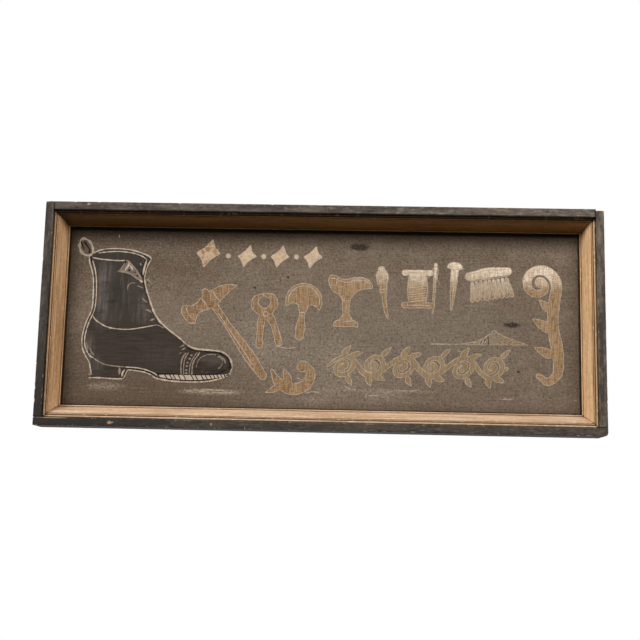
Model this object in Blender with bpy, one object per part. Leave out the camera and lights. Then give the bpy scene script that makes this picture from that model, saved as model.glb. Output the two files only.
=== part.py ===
"""Shoe repair trade sign: a painted panel of edge-jointed boards set deep in a black board frame.

Metres, +Z up. X runs along the sign as seen from the front, which faces -Y. The wall plane is y = 0,
and the origin lies on it, midway between the two hanging rings, at the height of their hinge line.
"""
import math
from collections import namedtuple

import bmesh
import bpy
from mathutils import Matrix, Vector

# Frame boards
SIGN_WIDTH = 1.422
SIGN_HEIGHT = 0.572
FRAME_STOCK = 0.0205
FRAME_DEPTH = 0.089
FRAME_ARRIS = 0.0010
RIGHT_STILE_DROP = 0.0040
WORN_CORNER_RADIUS = 0.0100
WORN_CORNER_SEGMENTS = 4
HANG_DROP = 0.060
SEAT_GAP = 0.0003

# Painted panel
PANEL_SETBACK = 0.050
PANEL_THICKNESS = 0.016
PANEL_BOARDS = ("panel_board_lower", "panel_board_middle", "panel_board_upper")

# Moulding, as widths inward from the frame and setbacks behind its front
MOULDING_WIDTH = 0.0345
OUTER_BEAD_SETBACK = 0.0095
OUTER_BEAD_WIDTH = 0.0057
SMALL_BEAD_SETBACK = 0.0114
SMALL_BEAD_WIDTH = 0.0036
QUIRK_WIDTH = 0.0010
QUIRK_DEPTH = 0.0012
FACE_SETBACK = 0.0136
FACE_CROWN = 0.0020
INNER_BEAD_WIDTH = 0.0040
INNER_BEAD_STAND = 0.0030
OUTER_BEAD_STEPS = 6
SMALL_BEAD_STEPS = 4
INNER_BEAD_STEPS = 4
FACE_STEPS = 8

# Battens, the outer two set in from the stiles
BATTEN_WIDTH = 0.064
BATTEN_THICKNESS = 0.013
BATTEN_INSET = 0.1905
BATTEN_ARRIS = 0.0008

# Nails through the rails and stiles
NAIL_LENGTH = 0.050
NAIL_SHANK_RADIUS = 0.00125
NAIL_HEAD_RADIUS = 0.0026
NAIL_HEAD_HEIGHT = 0.0010
NAIL_POINT = 0.0030
NAIL_SINK = 0.0003
NAIL_SIDES = 8
CORNER_NAIL_INSET = 0.018

# Brads through the moulding
BRAD_LENGTH = 0.026
BRAD_SHANK_RADIUS = 0.0008
BRAD_HEAD_RADIUS = 0.0012
BRAD_HEAD_HEIGHT = 0.0008
BRAD_POINT = 0.0020
BRAD_SETBACK = 0.0240
BRAD_SINK = 0.0015
BRAD_INSET = 0.110

# Screws through the battens
PANEL_SCREW_LENGTH = 0.0250
PANEL_SCREW_HEAD_RADIUS = 0.0038
PANEL_SCREW_SHANK_RADIUS = 0.0018
PANEL_SCREW_HEAD_HEIGHT = 0.0024
PANEL_SCREW_INSET = 0.040
PANEL_SCREW_EDGE = 0.012
SCREW_POINT = 0.0040
SCREW_SINK = 0.0002
SCREW_SIDES = 10
SLOT_WIDTH = 0.0009
SLOT_DEPTH = 0.0009

# Hanging rings and their straps
STRAP_WIDTH = 0.016
STRAP_THICKNESS = 0.0015
STRAP_LENGTH = 0.056
STRAP_SCREW_PLACES = (0.031, 0.047)
STRAP_SCREW_LENGTH = 0.0125
STRAP_SCREW_HEAD_RADIUS = 0.0032
STRAP_SCREW_SHANK_RADIUS = 0.0016
STRAP_SCREW_HEAD_HEIGHT = 0.0018
KNUCKLE_OPEN_DEGREES = 115
KNUCKLE_STEP_DEGREES = 20
RING_WIRE_RADIUS = 0.0020
RING_BOW_RADIUS = 0.0130
RING_LEG = 0.0080
RING_CORNER_RADIUS = 0.0040
RING_RUNNING_GAP = 0.0003
RING_CORNER_STEPS = 4
RING_BOW_STEPS = 12
RING_WIRE_RESOLUTION = 2

HOLE_MOUTH = 0.0030
MERGE_DISTANCE = 1e-6
SHARP_ANGLE = math.radians(50)

TOP_Z = HANG_DROP
BOTTOM_Z = TOP_Z - SIGN_HEIGHT
FRONT_Y = -FRAME_DEPTH
INNER_HALF_WIDTH = SIGN_WIDTH / 2 - FRAME_STOCK
BATTEN_REACH = INNER_HALF_WIDTH - BATTEN_INSET
PANEL_SCREW_OFFSET = BATTEN_WIDTH / 2 - PANEL_SCREW_EDGE
INNER_BOTTOM_Z = BOTTOM_Z + FRAME_STOCK
INNER_TOP_Z = TOP_Z - FRAME_STOCK
PANEL_FACE_Y = FRONT_Y + PANEL_SETBACK
PANEL_BACK_Y = PANEL_FACE_Y + PANEL_THICKNESS
BATTEN_FRONT_Y = PANEL_BACK_Y + SEAT_GAP
BATTEN_BACK_Y = BATTEN_FRONT_Y + BATTEN_THICKNESS
KNUCKLE_INNER_RADIUS = RING_WIRE_RADIUS + RING_RUNNING_GAP
KNUCKLE_OUTER_RADIUS = KNUCKLE_INNER_RADIUS + STRAP_THICKNESS
HINGE_Y = BATTEN_BACK_Y + SEAT_GAP + KNUCKLE_OUTER_RADIUS

Fastener = namedtuple("Fastener", "name mesh hole head facing colour")
UP, DOWN = Vector((0, 0, 1)), Vector((0, 0, -1))
LEFT, RIGHT = Vector((-1, 0, 0)), Vector((1, 0, 0))
BACKWARD = Vector((0, 1, 0))


def clear_scene():
    for obj in list(bpy.data.objects):
        bpy.data.objects.remove(obj, do_unlink=True)


def finish(name, colour, roughness, metallic=0.0):
    """A Principled BSDF with one colour."""
    material = bpy.data.materials.new(name)
    material.use_nodes = True
    shader = material.node_tree.nodes["Principled BSDF"]
    shader.inputs["Base Color"].default_value = (*colour, 1.0)
    shader.inputs["Roughness"].default_value = roughness
    shader.inputs["Metallic"].default_value = metallic
    return material


def add_object(name, mesh, material=None, location=(0, 0, 0)):
    obj = bpy.data.objects.new(name, mesh)
    obj.location = location
    bpy.context.scene.collection.objects.link(obj)
    if material and not mesh.materials:
        mesh.materials.append(material)
    return obj


def hide_cutter(obj):
    obj.hide_render = True
    obj.display_type = "WIRE"


def mesh_from(name, bm):
    """A mesh of the bmesh, with its faces pointing out."""
    bmesh.ops.recalc_face_normals(bm, faces=bm.faces)
    mesh = bpy.data.meshes.new(name)
    bm.to_mesh(mesh)
    bm.free()
    return mesh


def board(name, low, high, arris, material):
    """A board between two corners, with its arrises taken off."""
    low, high = Vector(low), Vector(high)
    bm = bmesh.new()
    bmesh.ops.create_cube(bm, size=1.0, matrix=Matrix.Diagonal((*(high - low), 1.0)))
    obj = add_object(name, mesh_from(name, bm), material, (low + high) / 2)
    bevel = obj.modifiers.new("arris", "BEVEL")
    bevel.width = arris
    bevel.segments = 1
    bevel.limit_method = "ANGLE"
    return obj


def turned(bm, profile, sides, matrix):
    """Spins a profile of (radius, height) pairs, which starts and ends on the axis, into a closed form."""
    points = [bm.verts.new((radius, 0, height)) for radius, height in profile]
    edges = [bm.edges.new(pair) for pair in zip(points, points[1:])]
    bmesh.ops.spin(
        bm,
        geom=points + edges,
        cent=(0, 0, 0),
        axis=(0, 0, 1),
        angle=math.tau,
        steps=sides,
        use_merge=True,
    )
    new = [vert for vert in bm.verts if not vert.tag]
    bmesh.ops.remove_doubles(bm, verts=new, dist=MERGE_DISTANCE)
    new = [vert for vert in bm.verts if not vert.tag]
    bmesh.ops.transform(bm, matrix=matrix, verts=new)
    for vert in new:
        vert.tag = True


def turned_mesh(name, profile, sides):
    bm = bmesh.new()
    turned(bm, profile, sides, Matrix.Identity(4))
    return mesh_from(name, bm)


def smooth_round(mesh):
    mesh.shade_smooth()
    mesh.set_sharp_from_angle(angle=SHARP_ANGLE)


def nail_profile(head, head_height, shank, length, point):
    return [
        (0, 0),
        (head, 0),
        (head, -head_height),
        (shank, -head_height),
        (shank, point - length),
        (0, -length),
    ]


def nail_hole(head, head_height, shank, length, point, gap, mouth):
    """The nail's profile grown by the gap, with the head's part carried out past the wood's face."""
    return [
        (0, mouth),
        (head + gap, mouth),
        (head + gap, -head_height - gap),
        (shank + gap, -head_height - gap),
        (shank + gap, point - length),
        (0, -length - 2 * gap),
    ]


def screw_profile(head, head_height, shank, length, point):
    return [(0, 0), (head, 0), (shank, -head_height), (shank, point - length), (0, -length)]


def screw_hole(head, head_height, shank, length, point, gap, mouth):
    """The screw's profile grown by the gap, with its countersink carried out past the face."""
    return [
        (0, mouth),
        (head + gap, mouth),
        (head + gap, -gap),
        (shank + gap, -head_height - gap),
        (shank + gap, point - length),
        (0, -length - 2 * gap),
    ]


def slotted(mesh, head):
    """The screw's mesh with a slot cut across its head."""
    bm = bmesh.new()
    past_head = 3 * head
    size = Matrix.Diagonal((SLOT_WIDTH, past_head, 2 * SLOT_DEPTH, 1.0))
    bmesh.ops.create_cube(bm, size=1.0, matrix=size)
    cutter = add_object("slot_cutter", mesh_from("slot_cutter", bm))
    screw = add_object("slotted", mesh)
    cut = screw.modifiers.new("slot", "BOOLEAN")
    cut.operation = "DIFFERENCE"
    cut.object = cutter
    graph = bpy.context.evaluated_depsgraph_get()
    made = bpy.data.meshes.new_from_object(screw.evaluated_get(graph))
    bpy.data.objects.remove(screw)
    bpy.data.objects.remove(cutter)
    return made


def placed(fastener):
    turn = fastener.facing.to_track_quat("Z", "Y")
    return Matrix.LocRotScale(fastener.head, turn, None)


def drill(obj, fasteners, sides):
    """Cuts the fasteners' holes from a piece, with one cutter that holds them all."""
    bm = bmesh.new()
    for fastener in fasteners:
        turned(bm, fastener.hole, sides, placed(fastener))
    name = f"{obj.name}_{sides}_sided_holes"
    cutter = add_object(name, mesh_from(name, bm))
    hide_cutter(cutter)
    cut = obj.modifiers.new("holes", "BOOLEAN")
    cut.operation = "DIFFERENCE"
    cut.object = cutter


def add_fastener(fastener):
    obj = add_object(fastener.name, fastener.mesh, fastener.colour)
    obj.matrix_world = placed(fastener)


def round_worn_corner(rail):
    """Rounds the bottom rail's lower right end, which is worn away on the front view."""
    bm = bmesh.new()
    bm.from_mesh(rail.data)
    half = SIGN_WIDTH / 2 - MERGE_DISTANCE
    worn = [
        edge
        for edge in bm.edges
        if all(vert.co.x > half and vert.co.z < 0 for vert in edge.verts)
    ]
    bmesh.ops.bevel(
        bm,
        geom=worn,
        offset=WORN_CORNER_RADIUS,
        segments=WORN_CORNER_SEGMENTS,
        profile=0.5,
        affect="EDGES",
    )
    bm.to_mesh(rail.data)
    bm.free()


def make_frame(paint):
    """The bottom rail runs under both stiles, and the top rail sits between them."""
    half = SIGN_WIDTH / 2
    rail = board(
        "frame_bottom_rail", (-half, FRONT_Y, BOTTOM_Z), (half, 0, INNER_BOTTOM_Z), FRAME_ARRIS, paint
    )
    round_worn_corner(rail)
    pieces = {rail.name: rail}
    top_half = INNER_HALF_WIDTH - SEAT_GAP
    stile_foot = INNER_BOTTOM_Z + SEAT_GAP
    corners = {
        "frame_top_rail": ((-top_half, FRONT_Y, INNER_TOP_Z), (top_half, 0, TOP_Z)),
        "frame_left_stile": ((-half, FRONT_Y, stile_foot), (-INNER_HALF_WIDTH, 0, TOP_Z)),
        "frame_right_stile": (
            (INNER_HALF_WIDTH, FRONT_Y, stile_foot),
            (half, 0, TOP_Z - RIGHT_STILE_DROP),
        ),
    }
    for name, (low, high) in corners.items():
        pieces[name] = board(name, low, high, FRAME_ARRIS, paint)
    return pieces


def arc(centre, radius, start, end, steps):
    """Points on an arc in degrees, its two ends included."""
    angles = [math.radians(start + (end - start) * k / steps) for k in range(steps + 1)]
    return [(centre[0] + radius * math.cos(a), centre[1] - radius * math.sin(a)) for a in angles]


def half_round(start, width, setback, steps):
    """A bead's face from its outer edge to its inner one, as (inward, setback) points."""
    radius = width / 2
    return arc((start + radius, setback + radius), radius, 180, 0, steps)


def crowned(start, end, crown, steps):
    """A slope between two points, raised at its middle by the amount given."""
    run, fall = end[0] - start[0], end[1] - start[1]
    length = math.hypot(run, fall)
    points = []
    for k in range(steps + 1):
        t = k / steps
        rise = 4 * crown * t * (1 - t)
        points.append(
            (start[0] + run * t + rise * fall / length, start[1] + fall * t - rise * run / length)
        )
    return points


def moulding_profile():
    """The moulding's section as (inward, setback) points, from its back outer corner round its face."""
    back = PANEL_SETBACK - SEAT_GAP
    bead = half_round(SEAT_GAP, OUTER_BEAD_WIDTH, OUTER_BEAD_SETBACK, OUTER_BEAD_STEPS)
    small_start = bead[-1][0] + QUIRK_WIDTH
    small = half_round(small_start, SMALL_BEAD_WIDTH, SMALL_BEAD_SETBACK, SMALL_BEAD_STEPS)
    face_start = (small[-1][0] + QUIRK_WIDTH, FACE_SETBACK)
    inner_start = MOULDING_WIDTH - INNER_BEAD_WIDTH
    inner_setback = PANEL_SETBACK - INNER_BEAD_STAND
    inner = half_round(inner_start, INNER_BEAD_WIDTH, inner_setback, INNER_BEAD_STEPS)
    face_end = (inner_start - QUIRK_WIDTH / 2, inner_setback + QUIRK_DEPTH / 2)
    quirk = (bead[-1][0] + QUIRK_WIDTH / 2, bead[-1][1] + QUIRK_DEPTH)
    small_quirk = (small[-1][0] + QUIRK_WIDTH / 2, small[-1][1] + QUIRK_DEPTH)
    face = crowned(face_start, face_end, FACE_CROWN, FACE_STEPS)
    inner = [point for point in inner if point[1] < back]
    seat = [(MOULDING_WIDTH, back)]
    return [(SEAT_GAP, back), *bead, quirk, *small, small_quirk, *face, *inner, *seat]


def moulding(name, half_run, across, mitred, material):
    """One mitred length. across gives the world point for a run along it, an inward width and a setback."""
    section = moulding_profile()
    bm = bmesh.new()
    ends = []
    for side in (-1, 1):
        ends.append([bm.verts.new(across(side * (half_run - u - mitred), u, d)) for u, d in section])
    for first, second in zip(range(len(section)), [*range(1, len(section)), 0]):
        bm.faces.new((ends[0][first], ends[0][second], ends[1][second], ends[1][first]))
    for end in ends:
        bm.faces.new(end)
    mesh = mesh_from(name, bm)
    smooth_round(mesh)
    return add_object(name, mesh, material)


def make_mouldings(gilt):
    """Four lengths in the corner between the frame and the panel, each cut back at its mitres."""
    half_height = (INNER_TOP_Z - INNER_BOTTOM_Z) / 2
    middle = (INNER_TOP_Z + INNER_BOTTOM_Z) / 2
    mitred = SEAT_GAP * math.sqrt(0.5)
    sides = {
        "moulding_top": (INNER_HALF_WIDTH, lambda s, u, d: (s, FRONT_Y + d, INNER_TOP_Z - u)),
        "moulding_bottom": (INNER_HALF_WIDTH, lambda s, u, d: (s, FRONT_Y + d, INNER_BOTTOM_Z + u)),
        "moulding_left": (half_height, lambda s, u, d: (u - INNER_HALF_WIDTH, FRONT_Y + d, middle + s)),
        "moulding_right": (half_height, lambda s, u, d: (INNER_HALF_WIDTH - u, FRONT_Y + d, middle + s)),
    }
    return {name: moulding(name, run, across, mitred, gilt) for name, (run, across) in sides.items()}


def panel_board_spans():
    """The lowest and highest z of each panel board, from the bottom up."""
    count = len(PANEL_BOARDS)
    bottom = INNER_BOTTOM_Z + SEAT_GAP
    height = (INNER_TOP_Z - INNER_BOTTOM_Z - (count + 1) * SEAT_GAP) / count
    return [
        (bottom + k * (height + SEAT_GAP), bottom + k * (height + SEAT_GAP) + height)
        for k in range(count)
    ]


def make_panel(paint):
    half = INNER_HALF_WIDTH - SEAT_GAP
    pieces = {}
    for name, (low, high) in zip(PANEL_BOARDS, panel_board_spans()):
        corners = (-half, PANEL_FACE_Y, low), (half, PANEL_BACK_Y, high)
        pieces[name] = board(name, *corners, SEAT_GAP, paint)
    return pieces


def batten_places():
    return {"batten_left": -BATTEN_REACH, "batten_centre": 0.0, "batten_right": BATTEN_REACH}


def make_battens(wood):
    """Upright battens on the panel's back, between the two rails."""
    low_z, high_z = INNER_BOTTOM_Z + SEAT_GAP, INNER_TOP_Z - SEAT_GAP
    pieces = {}
    for name, x in batten_places().items():
        low = (x - BATTEN_WIDTH / 2, BATTEN_FRONT_Y, low_z)
        high = (x + BATTEN_WIDTH / 2, BATTEN_BACK_Y, high_z)
        pieces[name] = board(name, low, high, BATTEN_ARRIS, wood)
    return pieces


def strap_outline():
    """The strap's (y, z) points along the hinge: a plate whose top is rolled round the ring's bar."""
    inner, outer = KNUCKLE_INNER_RADIUS, KNUCKLE_OUTER_RADIUS
    turn = 180 + KNUCKLE_OPEN_DEGREES
    steps = math.ceil(turn / KNUCKLE_STEP_DEGREES)
    angles = [math.radians(180 - turn * k / steps) for k in range(steps + 1)]
    outside = [(HINGE_Y + outer * math.cos(a), outer * math.sin(a)) for a in angles]
    inside = [(HINGE_Y + inner * math.cos(a), inner * math.sin(a)) for a in reversed(angles)]
    foot = [(HINGE_Y - inner, -STRAP_LENGTH), (HINGE_Y - outer, -STRAP_LENGTH)]
    return outside + inside + foot


def make_strap(name, x, iron):
    bm = bmesh.new()
    outline = [bm.verts.new((-STRAP_WIDTH / 2, y, z)) for y, z in strap_outline()]
    face = bm.faces.new(outline)
    grown = bmesh.ops.extrude_face_region(bm, geom=[face])
    moved = [item for item in grown["geom"] if isinstance(item, bmesh.types.BMVert)]
    bmesh.ops.translate(bm, vec=(STRAP_WIDTH, 0, 0), verts=moved)
    mesh = mesh_from(name, bm)
    smooth_round(mesh)
    return add_object(name, mesh, iron, (x, 0, 0))


def ring_path():
    """The wire's centre line in the ring's own plane: a bar on the hinge, two legs and a half-round bow."""
    bow, leg, corner = RING_BOW_RADIUS, RING_LEG, RING_CORNER_RADIUS
    corner_turns = [math.radians(90 * k / RING_CORNER_STEPS) for k in range(RING_CORNER_STEPS + 1)]
    bow_turns = [math.radians(180 * k / RING_BOW_STEPS) for k in range(RING_BOW_STEPS + 1)]
    right_corner = [
        (bow - corner + corner * math.sin(a), corner * math.cos(a) - corner) for a in corner_turns
    ]
    half_bow = [(bow * math.cos(a), -leg - bow * math.sin(a)) for a in bow_turns]
    left_corner = [(-x, z) for x, z in reversed(right_corner)]
    return right_corner + half_bow + left_corner


def make_ring(name, x, iron):
    """A D of round wire, its origin on the hinge axis, hanging straight down."""
    path = ring_path()
    curve = bpy.data.curves.new(name, "CURVE")
    curve.dimensions = "3D"
    curve.bevel_depth = RING_WIRE_RADIUS
    curve.bevel_resolution = RING_WIRE_RESOLUTION
    spline = curve.splines.new("POLY")
    spline.points.add(len(path) - 1)
    for point, (px, pz) in zip(spline.points, path):
        point.co = (px, 0, pz, 1)
    spline.use_cyclic_u = True
    spline.use_smooth = True
    curve.materials.append(iron)
    ring = bpy.data.objects.new(name, curve)
    ring.location = (x, HINGE_Y, 0)
    bpy.context.scene.collection.objects.link(ring)
    return ring


def corner_nails(mesh, hole, steel):
    """Two nails at each corner: up through the bottom rail, and in through the stiles to the top rail."""
    half, sink = SIGN_WIDTH / 2, NAIL_SINK
    nails = []
    for end, y in (("front", FRONT_Y + CORNER_NAIL_INSET), ("back", -CORNER_NAIL_INSET)):
        for side, sign, facing in (("left", -1, LEFT), ("right", 1, RIGHT)):
            foot = Vector((sign * (half - FRAME_STOCK / 2), y, BOTTOM_Z + sink))
            head = Vector((sign * (half - sink), y, TOP_Z - FRAME_STOCK / 2))
            nails.append(Fastener(f"nail_bottom_{side}_{end}", mesh, hole, foot, DOWN, steel))
            nails.append(Fastener(f"nail_top_{side}_{end}", mesh, hole, head, facing, steel))
    return nails


def batten_nails(mesh, hole, steel):
    """One nail through each rail into each batten's end."""
    y = (BATTEN_FRONT_Y + BATTEN_BACK_Y) / 2
    nails = []
    for batten, x in batten_places().items():
        top, bottom = Vector((x, y, TOP_Z - NAIL_SINK)), Vector((x, y, BOTTOM_Z + NAIL_SINK))
        nails.append(Fastener(f"nail_{batten}_top", mesh, hole, top, UP, steel))
        nails.append(Fastener(f"nail_{batten}_bottom", mesh, hole, bottom, DOWN, steel))
    return nails


def face_width_at(setback):
    """How far inward the moulding's face lies at a setback, read along its section."""
    face = [point for point in moulding_profile() if point[1] >= FACE_SETBACK]
    for (u0, d0), (u1, d1) in zip(face[1:], face[2:]):
        if u1 > u0 and d0 <= setback <= d1:
            return u0 + (u1 - u0) * (setback - d0) / (d1 - d0)
    return MOULDING_WIDTH


def moulding_brads(mesh, hole, steel):
    """Two brads in each length, driven out through its face into the frame, with their heads set under."""
    y = FRONT_Y + BRAD_SETBACK
    head_in = face_width_at(BRAD_SETBACK) - BRAD_SINK
    x_end = INNER_HALF_WIDTH - BRAD_INSET
    z_low, z_high = INNER_BOTTOM_Z + BRAD_INSET, INNER_TOP_Z - BRAD_INSET
    places = {
        "brad_top_left": ((-x_end, y, INNER_TOP_Z - head_in), DOWN),
        "brad_top_right": ((x_end, y, INNER_TOP_Z - head_in), DOWN),
        "brad_bottom_left": ((-x_end, y, INNER_BOTTOM_Z + head_in), UP),
        "brad_bottom_right": ((x_end, y, INNER_BOTTOM_Z + head_in), UP),
        "brad_left_lower": ((head_in - INNER_HALF_WIDTH, y, z_low), RIGHT),
        "brad_left_upper": ((head_in - INNER_HALF_WIDTH, y, z_high), RIGHT),
        "brad_right_lower": ((INNER_HALF_WIDTH - head_in, y, z_low), LEFT),
        "brad_right_upper": ((INNER_HALF_WIDTH - head_in, y, z_high), LEFT),
    }
    return [Fastener(name, mesh, hole, Vector(at), facing, steel) for name, (at, facing) in places.items()]


def panel_screws(mesh, hole, steel):
    """Two screws in each board at the end battens, and one at the centre batten."""
    y = BATTEN_BACK_Y - SCREW_SINK
    screws = []
    for batten, x in batten_places().items():
        for board_name, (low, high) in zip(PANEL_BOARDS, panel_board_spans()):
            if batten == "batten_centre":
                places = {"middle": (x, (low + high) / 2)}
            else:
                places = {
                    "lower": (x - PANEL_SCREW_OFFSET, low + PANEL_SCREW_INSET),
                    "upper": (x + PANEL_SCREW_OFFSET, high - PANEL_SCREW_INSET),
                }
            for end, (px, pz) in places.items():
                name = f"screw_{batten}_{board_name.rsplit('_', 1)[1]}_board_{end}"
                screws.append(Fastener(name, mesh, hole, Vector((px, y, pz)), BACKWARD, steel))
    return screws


def strap_screws(mesh, hole, steel):
    y = HINGE_Y - KNUCKLE_INNER_RADIUS - SCREW_SINK
    screws = []
    for side, x in (("left", -BATTEN_REACH), ("right", BATTEN_REACH)):
        for end, drop in zip(("upper", "lower"), STRAP_SCREW_PLACES):
            name = f"hanger_screw_{side}_{end}"
            screws.append(Fastener(name, mesh, hole, Vector((x, y, -drop)), BACKWARD, steel))
    return screws


def named(fasteners, *words):
    """The fasteners whose names hold one of the words."""
    return [fastener for fastener in fasteners if any(word in fastener.name for word in words)]


def main():
    clear_scene()
    black = finish("black_paint", (0.035, 0.031, 0.028), 0.6)
    gilt = finish("tan_gilding", (0.43, 0.29, 0.17), 0.55)
    smalt = finish("sanded_paint", (0.175, 0.133, 0.100), 0.85)
    bare = finish("bare_pine", (0.30, 0.20, 0.12), 0.75)
    iron = finish("japanned_iron", (0.06, 0.05, 0.045), 0.45, 0.8)
    steel = finish("rusted_steel", (0.20, 0.13, 0.09), 0.6, 0.6)

    frame = make_frame(black)
    mouldings = make_mouldings(gilt)
    panel = make_panel(smalt)
    battens = make_battens(bare)

    nail_sizes = NAIL_HEAD_RADIUS, NAIL_HEAD_HEIGHT, NAIL_SHANK_RADIUS, NAIL_LENGTH, NAIL_POINT
    brad_sizes = BRAD_HEAD_RADIUS, BRAD_HEAD_HEIGHT, BRAD_SHANK_RADIUS, BRAD_LENGTH, BRAD_POINT
    panel_screw_sizes = (
        PANEL_SCREW_HEAD_RADIUS,
        PANEL_SCREW_HEAD_HEIGHT,
        PANEL_SCREW_SHANK_RADIUS,
        PANEL_SCREW_LENGTH,
        SCREW_POINT,
    )
    strap_screw_sizes = (
        STRAP_SCREW_HEAD_RADIUS,
        STRAP_SCREW_HEAD_HEIGHT,
        STRAP_SCREW_SHANK_RADIUS,
        STRAP_SCREW_LENGTH,
        SCREW_POINT,
    )
    nail = turned_mesh("nail", nail_profile(*nail_sizes), NAIL_SIDES)
    brad = turned_mesh("brad", nail_profile(*brad_sizes), NAIL_SIDES)
    panel_screw = slotted(
        turned_mesh("panel_screw", screw_profile(*panel_screw_sizes), SCREW_SIDES), PANEL_SCREW_HEAD_RADIUS
    )
    strap_screw = slotted(
        turned_mesh("strap_screw", screw_profile(*strap_screw_sizes), SCREW_SIDES), STRAP_SCREW_HEAD_RADIUS
    )
    for mesh in (nail, brad, panel_screw, strap_screw):
        smooth_round(mesh)

    nail_way = nail_hole(*nail_sizes, SEAT_GAP, HOLE_MOUTH)
    brad_way = nail_hole(*brad_sizes, SEAT_GAP, BRAD_SINK + HOLE_MOUTH)
    corners = corner_nails(nail, nail_way, steel)
    ends = batten_nails(nail, nail_way, steel)
    brads = moulding_brads(brad, brad_way, steel)
    screws = panel_screws(panel_screw, screw_hole(*panel_screw_sizes, SEAT_GAP, HOLE_MOUTH), steel)
    hanger_screws = strap_screws(strap_screw, screw_hole(*strap_screw_sizes, SEAT_GAP, HOLE_MOUTH), steel)

    driven = corners + ends + brads
    drill(frame["frame_bottom_rail"], named(driven, "_bottom"), NAIL_SIDES)
    drill(frame["frame_top_rail"], named(driven, "_top"), NAIL_SIDES)
    drill(frame["frame_left_stile"], named(corners, "_left_") + named(brads, "brad_left"), NAIL_SIDES)
    drill(frame["frame_right_stile"], named(corners, "_right_") + named(brads, "brad_right"), NAIL_SIDES)
    for name, length in mouldings.items():
        drill(length, named(brads, name.replace("moulding", "brad")), NAIL_SIDES)
    for name, batten in battens.items():
        drill(batten, named(ends, name), NAIL_SIDES)
        drill(batten, named(screws, name), SCREW_SIDES)
    for name, piece in panel.items():
        drill(piece, named(screws, f"_{name.rsplit('_', 1)[1]}_board"), SCREW_SIDES)

    for side, x in (("left", -BATTEN_REACH), ("right", BATTEN_REACH)):
        strap = make_strap(f"hanger_strap_{side}", x, iron)
        own = named(hanger_screws, f"_{side}_")
        drill(strap, own, SCREW_SIDES)
        drill(battens[f"batten_{side}"], own, SCREW_SIDES)
        make_ring(f"hanger_ring_{side}", x, iron)

    for fastener in driven + screws + hanger_screws:
        add_fastener(fastener)


main()
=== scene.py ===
"""Looks of the shoe repair sign: worn black boards, a gilt moulding and a hand-painted panel.

Metres, +Z up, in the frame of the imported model. Painted artwork is laid out in millimetres from the
panel's centre, x to the right and z up.
"""

import math

import bmesh
import bpy
import numpy as np
from mathutils import Matrix, Vector, noise
from mathutils.geometry import delaunay_2d_cdt


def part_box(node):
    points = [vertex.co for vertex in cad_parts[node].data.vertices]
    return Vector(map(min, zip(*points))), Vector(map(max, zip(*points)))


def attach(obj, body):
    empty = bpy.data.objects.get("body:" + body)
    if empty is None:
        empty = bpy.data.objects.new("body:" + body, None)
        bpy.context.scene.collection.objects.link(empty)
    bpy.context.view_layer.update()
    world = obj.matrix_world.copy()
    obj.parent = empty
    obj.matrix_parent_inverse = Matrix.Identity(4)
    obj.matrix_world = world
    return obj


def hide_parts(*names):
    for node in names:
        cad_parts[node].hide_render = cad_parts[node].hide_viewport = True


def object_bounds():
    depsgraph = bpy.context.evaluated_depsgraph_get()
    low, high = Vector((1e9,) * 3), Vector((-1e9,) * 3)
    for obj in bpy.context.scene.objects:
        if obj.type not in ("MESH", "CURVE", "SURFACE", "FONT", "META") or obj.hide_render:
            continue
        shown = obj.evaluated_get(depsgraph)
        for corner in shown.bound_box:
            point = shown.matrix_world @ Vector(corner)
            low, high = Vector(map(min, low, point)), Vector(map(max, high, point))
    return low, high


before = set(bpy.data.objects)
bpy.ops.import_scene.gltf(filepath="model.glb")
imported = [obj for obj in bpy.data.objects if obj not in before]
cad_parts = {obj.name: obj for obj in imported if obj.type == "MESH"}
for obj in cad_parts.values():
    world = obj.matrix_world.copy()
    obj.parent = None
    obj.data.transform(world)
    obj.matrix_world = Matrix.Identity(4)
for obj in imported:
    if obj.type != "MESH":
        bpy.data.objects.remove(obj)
CAD_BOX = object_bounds()

MM = 0.001

# Photograph's camera, fitted to the corners of the frame, the moulding and the panel
PHOTO_WIDTH = 640
FOCAL_PIXELS = 1250
PRINCIPAL_ROW = 280
SENSOR_WIDTH = 36.0
CAMERA_PLACE = (0.096, -3.185, -0.702)
CAMERA_TURNS = (-10.39, 1.82, 0.95)

# Boards, their wear, and the painted shade on the bottom rail's underside
RING_STEP = 0.0025
ARRIS = 0.0011
ARRIS_STEPS = 4
ARRIS_FALL = 0.0015
END_SHARES = (0, 0.12, 0.4, 1.0)
SHARP_DEGREES = 40
LUMP_FALL = 0.7
LUMP_RATIO = 2.1
UNDULATION = 0.00018
GRAIN_DEPTH = 0.00012
BITE_DEPTH = 0.0010
CHIP_DEPTH = 0.0005
DEEP_CHIP = 0.02
WORN_CORNER_RADIUS = 0.0100
DIMPLE_RIM = 0.001
DIMPLE_RADIUS = 0.0070
DIMPLE_DEPTH = 0.00045
# Heights above the rail's foot where its painted underside shade is gone, and where it is full
FOOT_SHADE_RISE = 0.0018
FOOT_SHADE_FULL = 0.0005
JOINT_REACH = (0.0036, 0.0020)

# Moulding's section, as widths inward from the frame and setbacks behind its front
OUTER_BEAD = (0.0003, 0.0057, 0.0095)
SMALL_BEAD = (0.0070, 0.0036, 0.0114)
FACE_START = (0.0116, 0.0136)
FACE_CROWN = 0.0020
INNER_BEAD = (0.0305, 0.0040, 0.0470)
QUIRK_WIDTH = 0.0010
QUIRK_DEPTH = 0.0009
MOULDING_WIDTH = 0.0345
MOULDING_BACK = 0.0497
MITRE_GAP = 0.0002
MITRE_GRIME = 0.7
GILT_UNDULATION = 0.00012
DENT_DEPTH = 0.0006
FACE_STEPS = 32
SCORE_DEPTH = 0.0002

# Lines scored along the moulding's face, each as its place, its width and how far it shows
FACE_SCORES = ((0.66, 0.025, 1.0), (0.86, 0.02, 0.6))

# Panel's boards and ground coat
PANEL_ARRIS = 0.0006
PANEL_STEP = 0.006
PANEL_UNDULATION = 0.00015
PANEL_GRAIN = 0.00018
COAT_TRIM = 0.0004
COAT_LAP = 0.0002
GROUND_STEP = 0.003
GROUND_RELIEF = 0.00015

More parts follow.
